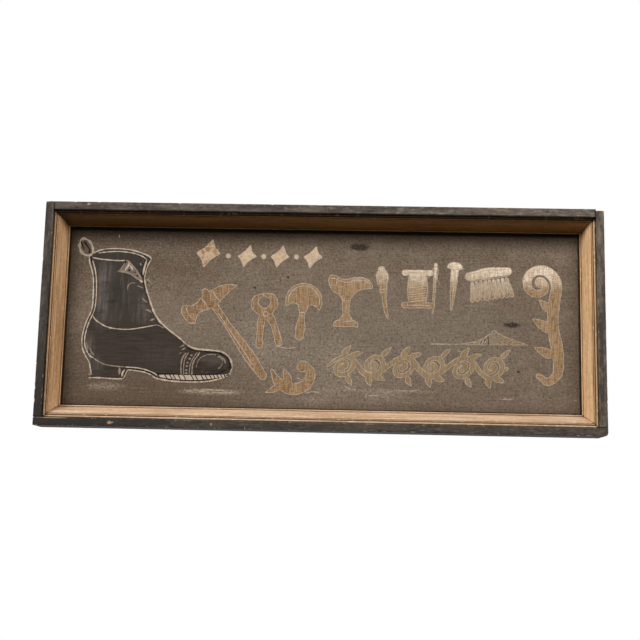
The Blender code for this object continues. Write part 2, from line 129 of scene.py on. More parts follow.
# Paint on the panel, as heights proud of the ground coat in metres, then widths and steps in millimetres
LINE_STAND = 0.00010
FILL_STAND = 0.00016
DARK_STAND = 0.00019
DETAIL_STAND = 0.00022
TOP_STAND = 0.00026
PAINT_ROOT = 0.0003
SCRATCH_HALF_WIDTH = 0.9
DETAIL_HALF_WIDTH = 0.9
LINE_STEP = 1.6
MERGE_REACH = 0.001

# Lights, each as its place from the sign, its width and its power
LIGHTS = (
    ("high_left_light", (-5.4, -3.7, 4.7), 2.6, 850),
    ("high_right_light", (5.35, -3.85, 4.95), 3.1, 550),
)
FLOOR_DROP = 1.10
FLOOR_HALF = 2.6
FLOOR_CELLS = 24

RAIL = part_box("frame_bottom_rail")
PANEL_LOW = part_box("panel_board_lower")[0]
PANEL_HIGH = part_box("panel_board_upper")[1]
PANEL_CENTRE = ((PANEL_LOW.x + PANEL_HIGH.x) / 2, (PANEL_LOW.z + PANEL_HIGH.z) / 2)
PANEL_HALF = ((PANEL_HIGH.x - PANEL_LOW.x) / 2, (PANEL_HIGH.z - PANEL_LOW.z) / 2)
SHOWN_HALF = (PANEL_HALF[0] - MOULDING_WIDTH, PANEL_HALF[1] - MOULDING_WIDTH)
GROUND_Y = PANEL_LOW.y


def srgb(red, green, blue):
    """A colour written as it looks on screen, 0 to 255, as the linear values that shaders take."""
    shares = [value / 255 for value in (red, green, blue)]
    return [s / 12.92 if s <= 0.04045 else ((s + 0.055) / 1.055) ** 2.4 for s in shares]


def lumps(points, size, octaves=3, seed=0.0):
    """Fractal noise at each point, about -1 to 1, whose largest lumps are size across on each axis."""
    places = np.asarray(points) / np.asarray(size) + seed
    return np.array([noise.fractal(Vector(place), LUMP_FALL, LUMP_RATIO, octaves) for place in places])


def swells(points, size, octaves, seed):
    """The same noise moved to go from about 0 to 1."""
    return 0.5 + 0.5 * lumps(points, size, octaves, seed)


def smooth_step(low, high, values):
    share = np.clip((values - low) / (high - low), 0, 1)
    return share * share * (3 - 2 * share)


class Graph:
    """Shader nodes, built by short calls that each return an output socket."""

    def __init__(self, tree, coordinates="Object"):
        self.tree = tree
        self.place = self.add("ShaderNodeTexCoord").outputs[coordinates]

    def add(self, kind, inputs=None, **settings):
        node = self.tree.nodes.new(kind)
        for key, value in settings.items():
            setattr(node, key, value)
        for key, value in (inputs or {}).items():
            self.put(node.inputs[key], value)
        return node

    def put(self, socket, value):
        if isinstance(value, bpy.types.NodeSocket):
            self.tree.links.new(value, socket)
        elif socket.type == "RGBA":
            socket.default_value = (*value, 1.0)
        else:
            socket.default_value = value

    def noise(self, size, detail=4, roughness=0.55, distortion=0.0, shift=(0, 0, 0)):
        """Noise whose largest lumps are size metres across, given once or for each axis."""
        sizes = size if isinstance(size, tuple) else (size, size, size)
        inputs = {"Vector": self.place, "Scale": tuple(1 / part for part in sizes), "Location": shift}
        vector = self.add("ShaderNodeMapping", inputs).outputs["Vector"]
        inputs = {"Vector": vector, "Scale": 1.0, "Detail": detail, "Roughness": roughness}
        return self.add("ShaderNodeTexNoise", inputs | {"Distortion": distortion}).outputs["Fac"]

    def grain(self, axis, along, across, *settings, **more):
        """Noise in streaks that run along one axis."""
        return self.noise(streak_size(axis, along, across), *settings, **more)

    def step(self, value, low, high, start=0.0, end=1.0):
        """A smooth step of the value, from start at low to end at high."""
        inputs = {"Value": value, "From Min": low, "From Max": high, "To Min": start, "To Max": end}
        return self.add("ShaderNodeMapRange", inputs, interpolation_type="SMOOTHSTEP").outputs["Result"]

    def math(self, operation, first, second=0.0):
        return self.add("ShaderNodeMath", {0: first, 1: second}, operation=operation).outputs["Value"]

    def around(self, value, gain):
        """A noise value moved to swing either side of nought."""
        return self.math("MULTIPLY", self.math("SUBTRACT", value, 0.5), gain)

    def mix(self, share, first, second):
        return self.add("ShaderNodeMix", {0: share, 6: first, 7: second}, data_type="RGBA").outputs[2]

    def mix_value(self, share, first, second):
        return self.add("ShaderNodeMix", {0: share, 2: first, 3: second}, data_type="FLOAT").outputs[0]

    def axis(self, name):
        return self.add("ShaderNodeSeparateXYZ", {"Vector": self.place}).outputs[name]

    def attribute(self, name):
        return self.add("ShaderNodeAttribute", attribute_name=name).outputs["Fac"]

    def spot(self, x, z, half_width, half_height, soft=0.5, ragged=0.0):
        """A soft-edged ellipse on the panel in millimetres, 1 inside and 0 outside."""
        centre = (x * MM, 0, PANEL_CENTRE[1] + z * MM)
        off = self.add("ShaderNodeVectorMath", {0: self.place, 1: centre}, operation="SUBTRACT")
        shares = (1 / (half_width * MM), 0, 1 / (half_height * MM))
        sized = self.add("ShaderNodeVectorMath", {0: off.outputs[0], 1: shares}, operation="MULTIPLY")
        far = self.add("ShaderNodeVectorMath", {0: sized.outputs[0]}, operation="LENGTH").outputs["Value"]
        if ragged:
            far = self.math("ADD", far, self.around(self.noise((0.012, 0.012, 0.005)), ragged))
        return self.step(far, 1 + soft, 1 - soft)


class Finish(Graph):
    """A material whose colour is laid on in layers."""

    def __init__(self, name, gloss=0.2, metallic=0.0):
        self.material = bpy.data.materials.new(name)
        self.material.use_nodes = True
        super().__init__(self.material.node_tree)
        self.shader = self.tree.nodes["Principled BSDF"]
        self.shader.inputs["Specular IOR Level"].default_value = gloss
        self.shader.inputs["Metallic"].default_value = metallic

    def set(self, **values):
        """Sets or links the shader's inputs, named with underscores for spaces."""
        for key, value in values.items():
            self.put(self.shader.inputs[key.replace("_", " ")], value)

    def start(self, share, first, second):
        """The colour that the layers go over, between two colours."""
        self.colour = self.mix(share, first, second)

    def cover(self, mask, tone, share=1.0):
        """A tone over the colour where a mask lies, and only as far as share."""
        self.colour = self.mix(self.math("MULTIPLY", mask, share), self.colour, tone)

    def layers(self, *rows):
        """Tones over the colour, each coming in as a value goes from low to high, as far as its share."""
        for value, low, high, tone, share in rows:
            self.colour = self.mix(self.step(value, low, high, 0, share), self.colour, tone)

    def finish(self, roughness, height, distance, strength):
        """The material, given its colour, its roughness and its relief."""
        inputs = {"Height": height, "Distance": distance, "Strength": strength}
        relief = self.add("ShaderNodeBump", inputs).outputs["Normal"]
        self.set(Base_Color=self.colour, Roughness=roughness, Normal=relief)
        return self.material


def streak_size(axis, along, across):
    """The size of a streak that runs along one axis."""
    return tuple(along if k == axis else across for k in range(3))


def shades(tone, *colours):
    """Screen colours as linear values, scaled by a tone or by one tone each for red, green and blue."""
    tones = tone if isinstance(tone, tuple) else (tone, tone, tone)
    return [[part * share for part, share in zip(srgb(*colour), tones)] for colour in colours]


def black_paint(name, axis, tone, dark_end, foot=0.0, blotched=0.0, joint=None):
    """Old black paint, greyed and streaked along the grain, and down to bare wood where it is chipped.

    dark_end tells where along the board, from the sign's centre, it starts and ends to darken, and how far.
    foot is how far the board's underside is blackened as painted shade, and blotched how far fresher black
    shows in spots.
    joint gives a graph's distance from the board's joints, which are black with dirt.
    """
    g = Finish(name)
    clouds = g.grain(axis, 0.16, 0.022, 5, 0.6)
    streaks = g.grain(axis, 0.045, 0.0018, 6, 0.65)
    blots = g.grain(axis, 0.026, 0.008, 6, 0.68)
    stains = g.grain(axis, 0.011, 0.006, 5, 0.7)
    blotches = g.grain(axis, 0.060, 0.014, 5, 0.6, shift=(3.3, 0, 0.8))
    specks = g.noise(0.0018, 3)
    dark, mid, pale, soot = shades(tone, (52, 45, 39), (84, 75, 66), (136, 122, 106), (24, 20, 17))
    wood = g.mix(streaks, srgb(120, 88, 64), srgb(200, 166, 134))
    faded = g.step(g.axis("X"), -0.6, 0.6, -0.03, 0.07)
    rubbed = g.math("ADD", g.attribute("wear"), g.around(streaks, 0.9))
    start, end, share = dark_end
    centre = (0, 0, PANEL_CENTRE[1])[axis]
    g.start(g.step(g.math("ADD", clouds, faded), 0.40, 0.60), dark, mid)
    g.layers(
        (g.math("ADD", blots, faded), 0.54, 0.72, pale, 0.50),
        (blots, 0.46, 0.30, soot, 0.60),
        (streaks, 0.52, 0.76, pale, 0.40),
        (streaks, 0.44, 0.28, soot, 0.45),
        (specks, 0.60, 0.72, soot, 0.35),
        (stains, 0.56, 0.70, pale, 0.36),
        (stains, 0.48, 0.36, soot, 0.55),
        (blotches, 0.50, 0.60, soot, blotched),
        (blotches, 0.46, 0.38, pale, 0.5 * blotched),
        (g.axis("XYZ"[axis]), centre + start, centre + end, soot, share),
        # painted shade blackening the underside
        (g.axis("Z"), RAIL[0].z + FOOT_SHADE_RISE, RAIL[0].z + FOOT_SHADE_FULL, srgb(14, 11, 9), foot),
        (specks, 0.42, 0.32, pale, 0.30),
        (rubbed, 0.30, 0.62, srgb(104, 90, 77), 0.55),
        (rubbed, 0.70, 0.88, wood, 1.0),
    )
    if joint:
        g.layers((joint(g), *JOINT_REACH, srgb(10, 8, 6), 0.92))
    return g.finish(g.step(clouds, 0.3, 0.8, 0.66, 0.82), g.mix_value(0.3, streaks, specks), 0.0005, 0.6)


def tan_gilding(name, axis, tone, left_dirt_and_shade=0.0):
    """Worn gilt over pine: tan, streaked along its length, grimy in the quirks and pale on worn beads."""
    g = Finish(name, metallic=0.1)
    clouds = g.grain(axis, 0.16, 0.02, 5)
    streaks = g.grain(axis, 0.07, 0.0014, 6, 0.6)
    bands = g.grain(axis, 0.22, 0.0034, 5, 0.62)
    blots = g.grain(axis, 0.012, 0.006, 5, 0.7)
    specks = g.noise(0.0022, 4, 0.7)
    dark, mid, pale, stain = shades(tone, (168, 131, 94), (200, 163, 124), (228, 197, 160), (138, 98, 62))
    speck, dirt_and_shade, bright = shades(tone, (118, 84, 54), (80, 54, 34), (204, 176, 146))
    black = srgb(16, 9, 4)
    grime = g.math("ADD", g.attribute("grime"), g.around(clouds, 0.8))
    wear = g.math("ADD", g.attribute("wear"), g.around(specks, 0.8))
    g.start(g.step(clouds, 0.3, 0.7), dark, mid)
    g.layers(
        (bands, 0.52, 0.64, pale, 0.45),
        (bands, 0.48, 0.36, stain, 0.45),
        (streaks, 0.50, 0.75, pale, 0.55),
        (streaks, 0.43, 0.28, stain, 0.45),
        (specks, 0.55, 0.70, speck, 0.70),
        (blots, 0.54, 0.70, stain, 0.50),
        (blots, 0.46, 0.32, pale, 0.45),
        # Past 1.1 the grime goes near black, in the quirks and mitres and on the top length's outer bead,
        # where it is painted shadow under the top rail
        (grime, 0.30, 1.0, dirt_and_shade, 0.85),
        (grime, 1.1, 1.6, black, 0.8),
        # darker towards the left end, as dirt, and on the top length as painted shadow at its left mitre
        (g.axis("X"), 0.3, -0.7, dirt_and_shade, left_dirt_and_shade),
        (g.axis("X"), -0.635, -0.672, black, 1.6 * left_dirt_and_shade),
        (wear, 0.5, 0.8, bright, 1.0),
    )
    return g.finish(g.step(streaks, 0.3, 0.8, 0.45, 0.65), g.mix_value(0.4, streaks, specks), 0.0004, 0.6)


def bare_wood(name, axis, tone=1.0):
    """Bare pine gone brown, with long grain, darker latewood lines and grime along its arrises."""
    g = Finish(name)
    warp = g.grain(axis, 0.35, 0.05, 3)
    rings = g.grain(axis, 0.55, 0.0045, 3, distortion=0.6)
    fibre = g.grain(axis, 0.035, 0.0009, 5, 0.7)
    light, mid, dark = shades(tone, (176, 142, 104), (150, 114, 78), (98, 68, 44))
    g.start(g.step(warp, 0.3, 0.7), light, mid)
    g.layers(
        (rings, 0.50, 0.72, dark, 0.75),
        (fibre, 0.55, 0.80, srgb(70, 50, 34), 0.45),
        (g.attribute("wear"), 0.3, 0.9, srgb(92, 72, 54), 0.5),
    )
    return g.finish(g.step(fibre, 0.3, 0.8, 0.68, 0.88), g.mix_value(0.5, rings, fibre), 0.0006, 0.7)


def rusty_iron(name, skin, rust, share):
    """Iron with its dark skin broken by rust, finely pitted."""
    g = Finish(name)
    blooms = g.noise(0.006, 6, 0.65)
    pits = g.noise(0.0009, 3)
    bright, dark = srgb(*rust), shades(0.45, rust)[0]
    mask = g.step(blooms, 0.62 - share / 2, 0.72 - share / 2)
    g.start(mask, srgb(*skin), g.mix(g.step(pits, 0.35, 0.7), bright, dark))
    g.set(Metallic=g.step(mask, 0.0, 1.0, 0.8, 0.0))
    return g.finish(g.step(mask, 0.0, 1.0, 0.38, 0.85), g.math("ADD", pits, blooms), 0.00025, 0.6)


# Knots and scuffs on the panel, as centre, half width and half height, and how far a scuff shows
KNOTS = ((95, 188, 24, 9), (483, -7, 20, 7), (499, -126, 4, 3), (-88, 107, 4, 3), (-172, 78, 4, 3))
SCUFFS = (
    (-273, -191, 70, 7, 0.80),
    (-312, -189, 34, 5, 0.50),
    (-17, -212, 26, 13, 0.40),
    (160, -189, 46, 12, 0.35),
    (469, -195, 16, 3, 0.55),
    (-545, -182, 42, 10, 0.60),
    (150, -180, 150, 5, 0.30),
    (40, -130, 120, 70, 0.20),
    (-182, -21, 30, 14, 0.25),
    (-150, -95, 60, 40, 0.22),
    (40, -96, 34, 60, 0.26),
    (-90, -60, 90, 50, 0.16),
)


def sanded_ground(g):
    """Lays the panel's mottled grey-brown ground on a graph, and gives its colour and its height."""
    clouds = g.noise((0.11, 0.11, 0.075), 5, 0.6)
    drifts = g.noise((0.030, 0.030, 0.022), 5, 0.65, shift=(3.1, 0, 1.7))
    hues = g.noise(0.026, 3, shift=(6.2, 0, 4.4))
    brush = g.noise((0.060, 0.060, 0.0022), 5, 0.6)
    weave = g.noise((0.0026, 0.0026, 0.024), 4, 0.6, shift=(1.9, 0, 0))
    coarse = g.noise((0.0065, 0.0065, 0.0048), 5, 0.7, shift=(0, 0, 9.1))
    sand = g.mix_value(0.60, g.noise(0.0021, 4, 0.75), coarse)
    low_left = g.spot(-520, -190, 330, 100, soft=0.7)
    g.start(g.step(clouds, 0.30, 0.70), srgb(114, 98, 82), srgb(131, 115, 99))
    g.layers(
        (drifts, 0.38, 0.70, srgb(98, 83, 68), 0.55),
        (hues, 0.52, 0.68, srgb(124, 101, 88), 0.45),
        (hues, 0.48, 0.34, srgb(111, 103, 82), 0.45),
    )
    g.cover(g.spot(20, -60, 460, 160, soft=0.6), srgb(131, 118, 104), 0.52)
    g.cover(low_left, srgb(80, 65, 51), 0.66)
    # Painted shade over the panel's top-left corner, under the top rail and beside the left stile.
    g.cover(g.spot(-600, 200, 330, 120, soft=0.8), srgb(66, 52, 39), 0.52)
    g.layers(
        (brush, 0.52, 0.75, srgb(143, 128, 111), 0.38),
        (brush, 0.46, 0.30, srgb(78, 65, 52), 0.35),
        (weave, 0.48, 0.32, srgb(72, 59, 47), 0.45),
    )
    broken = g.step(sand, 0.42, 0.62, 0.15, 1.0)
    for *oval, share in SCUFFS:
        scuff = g.math("MULTIPLY", g.spot(*oval, 0.5, 0.9), broken)
        g.cover(scuff, srgb(172, 156, 136), share)
    for x, z, half_width, half_height in KNOTS:
        g.cover(g.spot(x, z, half_width, half_height, 0.45, 0.7), srgb(40, 32, 28), 0.92)
        g.cover(g.spot(x, z, 0.45 * half_width, 0.45 * half_height, 0.6), srgb(62, 60, 66), 0.30)
    g.layers((sand, 0.50, 0.40, srgb(62, 51, 41), 0.62))
    grains = g.step(sand, 0.52, 0.63, 0, 0.50)
    g.cover(grains, srgb(168, 151, 132), g.step(low_left, 0.0, 1.0, 1.0, 0.40))
    # The panel darkens towards its edges and goes near black in a rim beside the moulding. Under the top
    # rail the wide band and the rim are painted shade of the deep frame; at the sides and the foot they
    # only darken the edge.
    sideways = g.math("SUBTRACT", SHOWN_HALF[0], g.math("ABSOLUTE", g.axis("X")))
    top = g.math("SUBTRACT", PANEL_CENTRE[1] + SHOWN_HALF[1], g.axis("Z"))
    foot = g.math("SUBTRACT", g.axis("Z"), PANEL_CENTRE[1] - SHOWN_HALF[1])
    for edge, reach, share, rim, black in (
        (sideways, 0.020, 0.10, 0.0070, 0.82),
        (top, 0.060, 0.66, 0.0125, 0.97),
        (foot, 0.028, 0.35, 0.0042, 0.62),
    ):
        inward = g.math("ADD", edge, g.around(drifts, 0.005))
        g.layers(
            (inward, reach, 0.0, srgb(44, 33, 22), share),
            (inward, rim, 0.45 * rim, srgb(7, 4, 2), black),
        )
    g.sand, g.brush = sand, brush
    return g.colour, g.math("ADD", sand, g.math("MULTIPLY", brush, 0.35))


def ground_paint():
    g = Finish("sanded_ground", gloss=0.08)
    _, height = sanded_ground(g)
    return g.finish(g.step(g.sand, 0.3, 0.7, 0.78, 0.92), height, 0.0007, 0.8)


def painted(name, tint, worn=(0.60, 0.74), fade=0.0, roughness=0.7):
    """Paint over the ground, which shows where the paint is worn. tint lays on the paint's own colour."""
    g = Finish(name, gloss=0.1)
    ground, height = sanded_ground(g)
    rubs = g.noise((0.0075, 0.0075, 0.0045), 6, 0.72, shift=(0, 0, 5.3))
    gone = g.math("MAXIMUM", g.step(rubs, *worn), g.step(g.sand, 0.63, 0.76, 0, 0.6))
    gone = g.math("MAXIMUM", gone, fade)
    tint(g)
    g.cover(gone, ground)
    return g.finish(g.step(gone, 0.0, 1.0, roughness, 0.85), height, 0.0006, 0.7)


def sandy_tint(dark, pale):
    """A tint between two screen colours that follows the sand."""
    return lambda g: g.start(g.step(g.sand, 0.35, 0.65), srgb(*dark), srgb(*pale))


# Soft lights on the boot, as centre, half width and half height, and how far each shows
BOOT_LIGHTS = (
    (-562, 52, 15, 64, 0.40),
    (-560, 110, 24, 22, 0.18),
    (-545, -2, 30, 18, 0.12),
    (-594, -88, 13, 34, 0.40),
    (-570, -128, 14, 18, 0.26),
    (-400, -100, 60, 26, 0.07),
    (-480, 66, 22, 44, 0.14),
    (-452, 16, 22, 34, 0.22),
)


def boot_tint(g):
    """Black gone brown-grey, brushed along the foot and down the leg, with soft lights on it."""
    down = g.noise((0.0060, 0.0060, 0.06), 5)
    drifts = g.noise((0.060, 0.060, 0.014), shift=(5.5, 0, 2.4))
    leg = g.step(g.axis("Z"), PANEL_CENTRE[1] - 0.045, PANEL_CENTRE[1] + 0.02)
    g.start(g.step(g.brush, 0.35, 0.7), srgb(49, 42, 36), srgb(65, 55, 47))
    g.cover(leg, srgb(54, 48, 42))
    g.cover(leg, srgb(88, 79, 71), g.step(down, 0.48, 0.72, 0, 0.50))
    broken = g.step(down, 0.35, 0.65, 0.35, 1.0)
    for *oval, share in BOOT_LIGHTS:
        soft = g.math("MULTIPLY", g.spot(*oval, 0.95, 0.9), share)
        g.cover(soft, srgb(136, 124, 116), broken)
    g.layers((drifts, 0.46, 0.30, srgb(40, 33, 28), 0.5), (g.sand, 0.48, 0.38, srgb(36, 31, 26), 0.5))


def toe_tint(g):
    drifts = g.noise((0.016, 0.016, 0.012), shift=(5.5, 0, 2.4))
    g.start(g.step(g.brush, 0.35, 0.7), srgb(38, 32, 27), srgb(60, 51, 44))
    g.cover(g.spot(-268, -107, 30, 15, soft=0.9, ragged=0.5), srgb(112, 97, 90), 0.34)
    g.layers((drifts, 0.52, 0.72, srgb(92, 81, 71), 0.4))


def soot_tint(g):
    g.start(g.step(g.brush, 0.35, 0.7), srgb(14, 10, 7), srgb(28, 22, 17))


cream_tint = sandy_tint((170, 150, 130), (206, 188, 168))
dull_cream_tint = sandy_tint((130, 113, 96), (164, 146, 126))
haze_tint = sandy_tint((92, 81, 72), (132, 118, 104))


def gold_tint(g):
    """Bronze below and pale gold above, paler towards the right, crossed by fine brush lines."""
    across = g.noise((0.020, 0.020, 0.0016))
    upright = g.noise((0.0016, 0.0016, 0.022))
    weave = g.math("MULTIPLY", g.math("ADD", across, upright), 0.5)
    blots = g.noise(0.022, 6, 0.7, shift=(7.7, 0, 0))
    up = g.math("SUBTRACT", g.axis("Z"), PANEL_CENTRE[1])
    high = g.step(g.math("ADD", up, g.around(blots, 0.11)), 0.070, 0.132)
    flecks = g.step(g.math("ADD", g.sand, g.around(blots, 0.5)), 0.46, 0.56, 0, 0.30)
    pale = g.mix(g.step(weave, 0.42, 0.58), srgb(192, 164, 132), srgb(244, 228, 207))
    pale = g.mix(flecks, pale, srgb(150, 124, 96))
    g.start(g.step(g.axis("X"), -0.28, 0.10), srgb(128, 100, 74), srgb(148, 121, 90))
    g.layers(
        (weave, 0.46, 0.60, srgb(178, 147, 112), 0.80),
        (weave, 0.50, 0.40, srgb(98, 72, 48), 0.75),
        (blots, 0.54, 0.72, srgb(128, 92, 60), 0.5),
    )
    g.cover(high, pale, g.step(g.axis("X"), 0.02, 0.26))


def small_gold_tint(g):
    """Pale gold, mottled, and stained brown at its left end."""
    blots = g.noise(0.014, 6, 0.75, shift=(2.2, 0, 4.1))
    fine = g.noise((0.0060, 0.0060, 0.0042), 5, 0.7, shift=(8.4, 0, 0))
    g.start(g.step(blots, 0.35, 0.65), srgb(188, 161, 130), srgb(218, 196, 168))
    g.layers((fine, 0.46, 0.62, srgb(172, 139, 110), 0.70))
    g.cover(g.step(blots, 0.42, 0.58), srgb(138, 102, 66), g.step(g.axis("X"), -0.22, -0.31, 0.15, 1.0))


def vine_tint(g):
    upright = g.noise((0.0016, 0.0016, 0.030))
    g.start(g.step(upright, 0.38, 0.64), srgb(132, 108, 78), srgb(162, 138, 106))


def faded_gold_tint(g):
    """Thin gold, greyish over most of its width and richer at the right."""
    grains = g.step(g.sand, 0.40, 0.60)
    g.start(grains, srgb(132, 115, 90), srgb(166, 148, 120))
    rich = g.mix(grains, srgb(134, 106, 68), srgb(176, 147, 106))
    g.cover(g.step(g.axis("X"), 0.44, 0.48), rich)


def add_object(name, data):
    obj = bpy.data.objects.new(name, data)
    bpy.context.scene.collection.objects.link(obj)
    return obj


def mesh_of(bm, name):
    """A mesh made of a bmesh, which is freed."""
    mesh = bpy.data.meshes.new(name)
    bm.to_mesh(mesh)
    bm.free()
    return mesh


def add_piece(name, mesh, material, replaced=()):
    """A piece that rides on the sign with the material given, and hides the CAD nodes named, in whose place
    it stands.
    """
    obj = add_object(name, mesh)
    mesh.materials.append(material)
    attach(obj, "sign")
    if replaced:
        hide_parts(*replaced)


def lofted_mesh(name, rings):
    """A closed mesh over rings of points, with its two ends capped."""
    count, around = rings.shape[:2]
    index = np.arange(count * around).reshape(count, around)
    follow = np.roll(index, -1, axis=1)
    quads = np.stack([index[:-1], follow[:-1], follow[1:], index[1:]], axis=-1).reshape(-1, 4)
    faces = quads.tolist() + [index[0][::-1].tolist(), index[-1].tolist()]
    mesh = bpy.data.meshes.new(name)
    mesh.from_pydata(rings.reshape(-1, 3).tolist(), [], faces)
    bm = bmesh.new()
    bm.from_mesh(mesh)
    bmesh.ops.recalc_face_normals(bm, faces=bm.faces)
    bm.to_mesh(mesh)
    bm.free()
    mesh.shade_smooth()
    mesh.set_sharp_from_angle(angle=math.radians(SHARP_DEGREES))
    return mesh


def carved_piece(name, rings, depth, material, slot, node, **attributes):
    """A piece in a node's place, over rings of points that are sunk along the normals by depth at each."""
    mesh = lofted_mesh(name, rings)
    places, normals = np.empty((2, 3 * len(mesh.vertices)), dtype=np.float32)
    mesh.vertices.foreach_get("co", places)
    mesh.vertex_normals.foreach_get("vector", normals)
    places -= normals * np.repeat(depth, 3)
    mesh.vertices.foreach_set("co", places)
    mesh.update()
    for key, values in attributes.items():
        attribute = mesh.attributes.new(key, "FLOAT", "POINT")
        attribute.data.foreach_set("value", np.asarray(values, dtype=np.float32).reshape(-1))
    add_piece(name, mesh, material, replaced=(node,))


def board_section(width, depth, radius, step):
    """A rounded rectangle's points, and how near each one is to an arris, from 0 to 1."""
    far_a, far_b = width - radius, depth - radius
    corners = [((far_a, radius), -90), ((far_a, far_b), 0), ((radius, far_b), 90), ((radius, radius), 180)]
    rounds = []
    for centre, start in corners:
        turns = np.radians(np.linspace(start, start + 90, ARRIS_STEPS + 1))
        rounds.append(np.array(centre) + radius * np.stack([np.cos(turns), np.sin(turns)], axis=-1))
    points, near = [], []
    for this, following in zip(rounds, rounds[1:] + rounds[:1]):
        length = np.linalg.norm(following[0] - this[-1])
        share = np.linspace(0, 1, max(2, round(length / step)) + 1)[1:-1, None]
        points += [this, this[-1] + (following[0] - this[-1]) * share]
        away = np.minimum(share[:, 0], 1 - share[:, 0]) * length
        near += [np.ones(len(this)), np.exp(-away / ARRIS_FALL)]
    return np.concatenate(points), np.concatenate(near)


def board_rings(low, high, axis, radius, section_step, trim=None):
    """Rings of a board along an axis, drawn in at its ends. trim gives its lower edge along its length."""
    across = 2 - axis
    width, depth = high[across] - low[across], high[1] - low[1]
    section, near = board_section(width, depth, radius, section_step)
    length = high[axis] - low[axis]
    end = np.array(END_SHARES) * radius
    middle = np.linspace(radius, length - radius, max(2, round((length - 2 * radius) / RING_STEP)) + 1)
    rings, nearness = [], []
    for place in np.concatenate([end[:-1], middle, length - end[-2::-1]]):
        from_end = min(place, length - place)
        inset = radius - math.sqrt(max(0.0, radius**2 - max(0.0, radius - from_end) ** 2))
        lowest = trim(low[axis] + place) if trim else 0.0
        ring = np.empty((len(section), 3))
        ring[:, axis] = low[axis] + place
        ring[:, 1] = low[1] + (inset + section[:, 1] / depth * (depth - 2 * inset))
        rise = section[:, 0] / width * (width - lowest - 2 * inset)
        ring[:, across] = low[across] + (lowest + inset + rise)
        rings.append(ring)
        nearness.append(np.maximum(near, math.exp(-from_end / ARRIS_FALL)))
    return np.array(rings), np.concatenate(nearness)


def dimples(points, heads):
    """How deep the wood is drawn in round each fastener's head, 0 to 1."""
    sunk = np.zeros(len(points))
    for head in heads:
        low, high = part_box(head)
        nearest = np.clip(points, np.array(low), np.array(high))
        away = np.linalg.norm(points - nearest, axis=1)
        sunk = np.maximum(sunk, 1 - smooth_step(DIMPLE_RIM, DIMPLE_RADIUS, away))
    return sunk


def worn_board(node, axis, material, slot, seed, heads=(), wear=1.0, step=0.0032, trim=None, chips=()):
    """A board in a node's place with worn arrises, raised grain, chips and its fasteners' dimples."""
    rings, near = board_rings(*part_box(node), axis, ARRIS, step, trim)
    points = rings.reshape(-1, 3)
    rough = lumps(points, 0.013, 4, seed)
    waves = swells(points, 0.07, 2, seed + 3)
    grain = swells(points, streak_size(axis, 0.12, 0.0035), 3, seed + 7)
    rubbed = near * (0.30 + 0.70 * smooth_step(0.15, 0.85, rough)) * wear
    bites = near * smooth_step(0.45, 0.85, rough) * wear
    bare = np.zeros(len(points))
    for centre, half_sizes in chips:
        away = np.linalg.norm((points - np.array(centre)) / np.array(half_sizes), axis=1)
        bare = np.maximum(bare, smooth_step(1.35, 0.6, away + 0.5 * rough))
    depth = UNDULATION * waves + GRAIN_DEPTH * grain + BITE_DEPTH * bites
    depth += CHIP_DEPTH * bare + DIMPLE_DEPTH * dimples(points, heads)
    carved_piece(f"{node}_worn", rings, depth, material, slot, node, wear=np.maximum(rubbed, bare))


def names_with(*words):
    """The CAD nodes whose names hold all of the words."""
    return [name for name in sorted(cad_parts) if all(word in name for word in words)]


def rail_trim(x):
    """How far the bottom rail's lower edge rises at its worn right end."""
    run = x - (RAIL[1].x - WORN_CORNER_RADIUS)
    if run <= 0:
        return 0.0
    return WORN_CORNER_RADIUS - math.sqrt(max(0.0, WORN_CORNER_RADIUS**2 - run**2))


def above_rail(g):
    """How far a point of a stile lies above its joint with the bottom rail."""
    return g.math("SUBTRACT", g.axis("Z"), RAIL[1].z)


def inside_stiles(g):
    """How far a point of the top rail lies from its nearer end."""
    return g.math("SUBTRACT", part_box("frame_top_rail")[1].x, g.math("ABSOLUTE", g.axis("X")))


def chip(x, z, half_x, half_z, half_y=0.004):
    """A chip's centre on the frame's front, and its half sizes."""
    return (x, RAIL[0].y, z), (half_x, half_y, half_z)


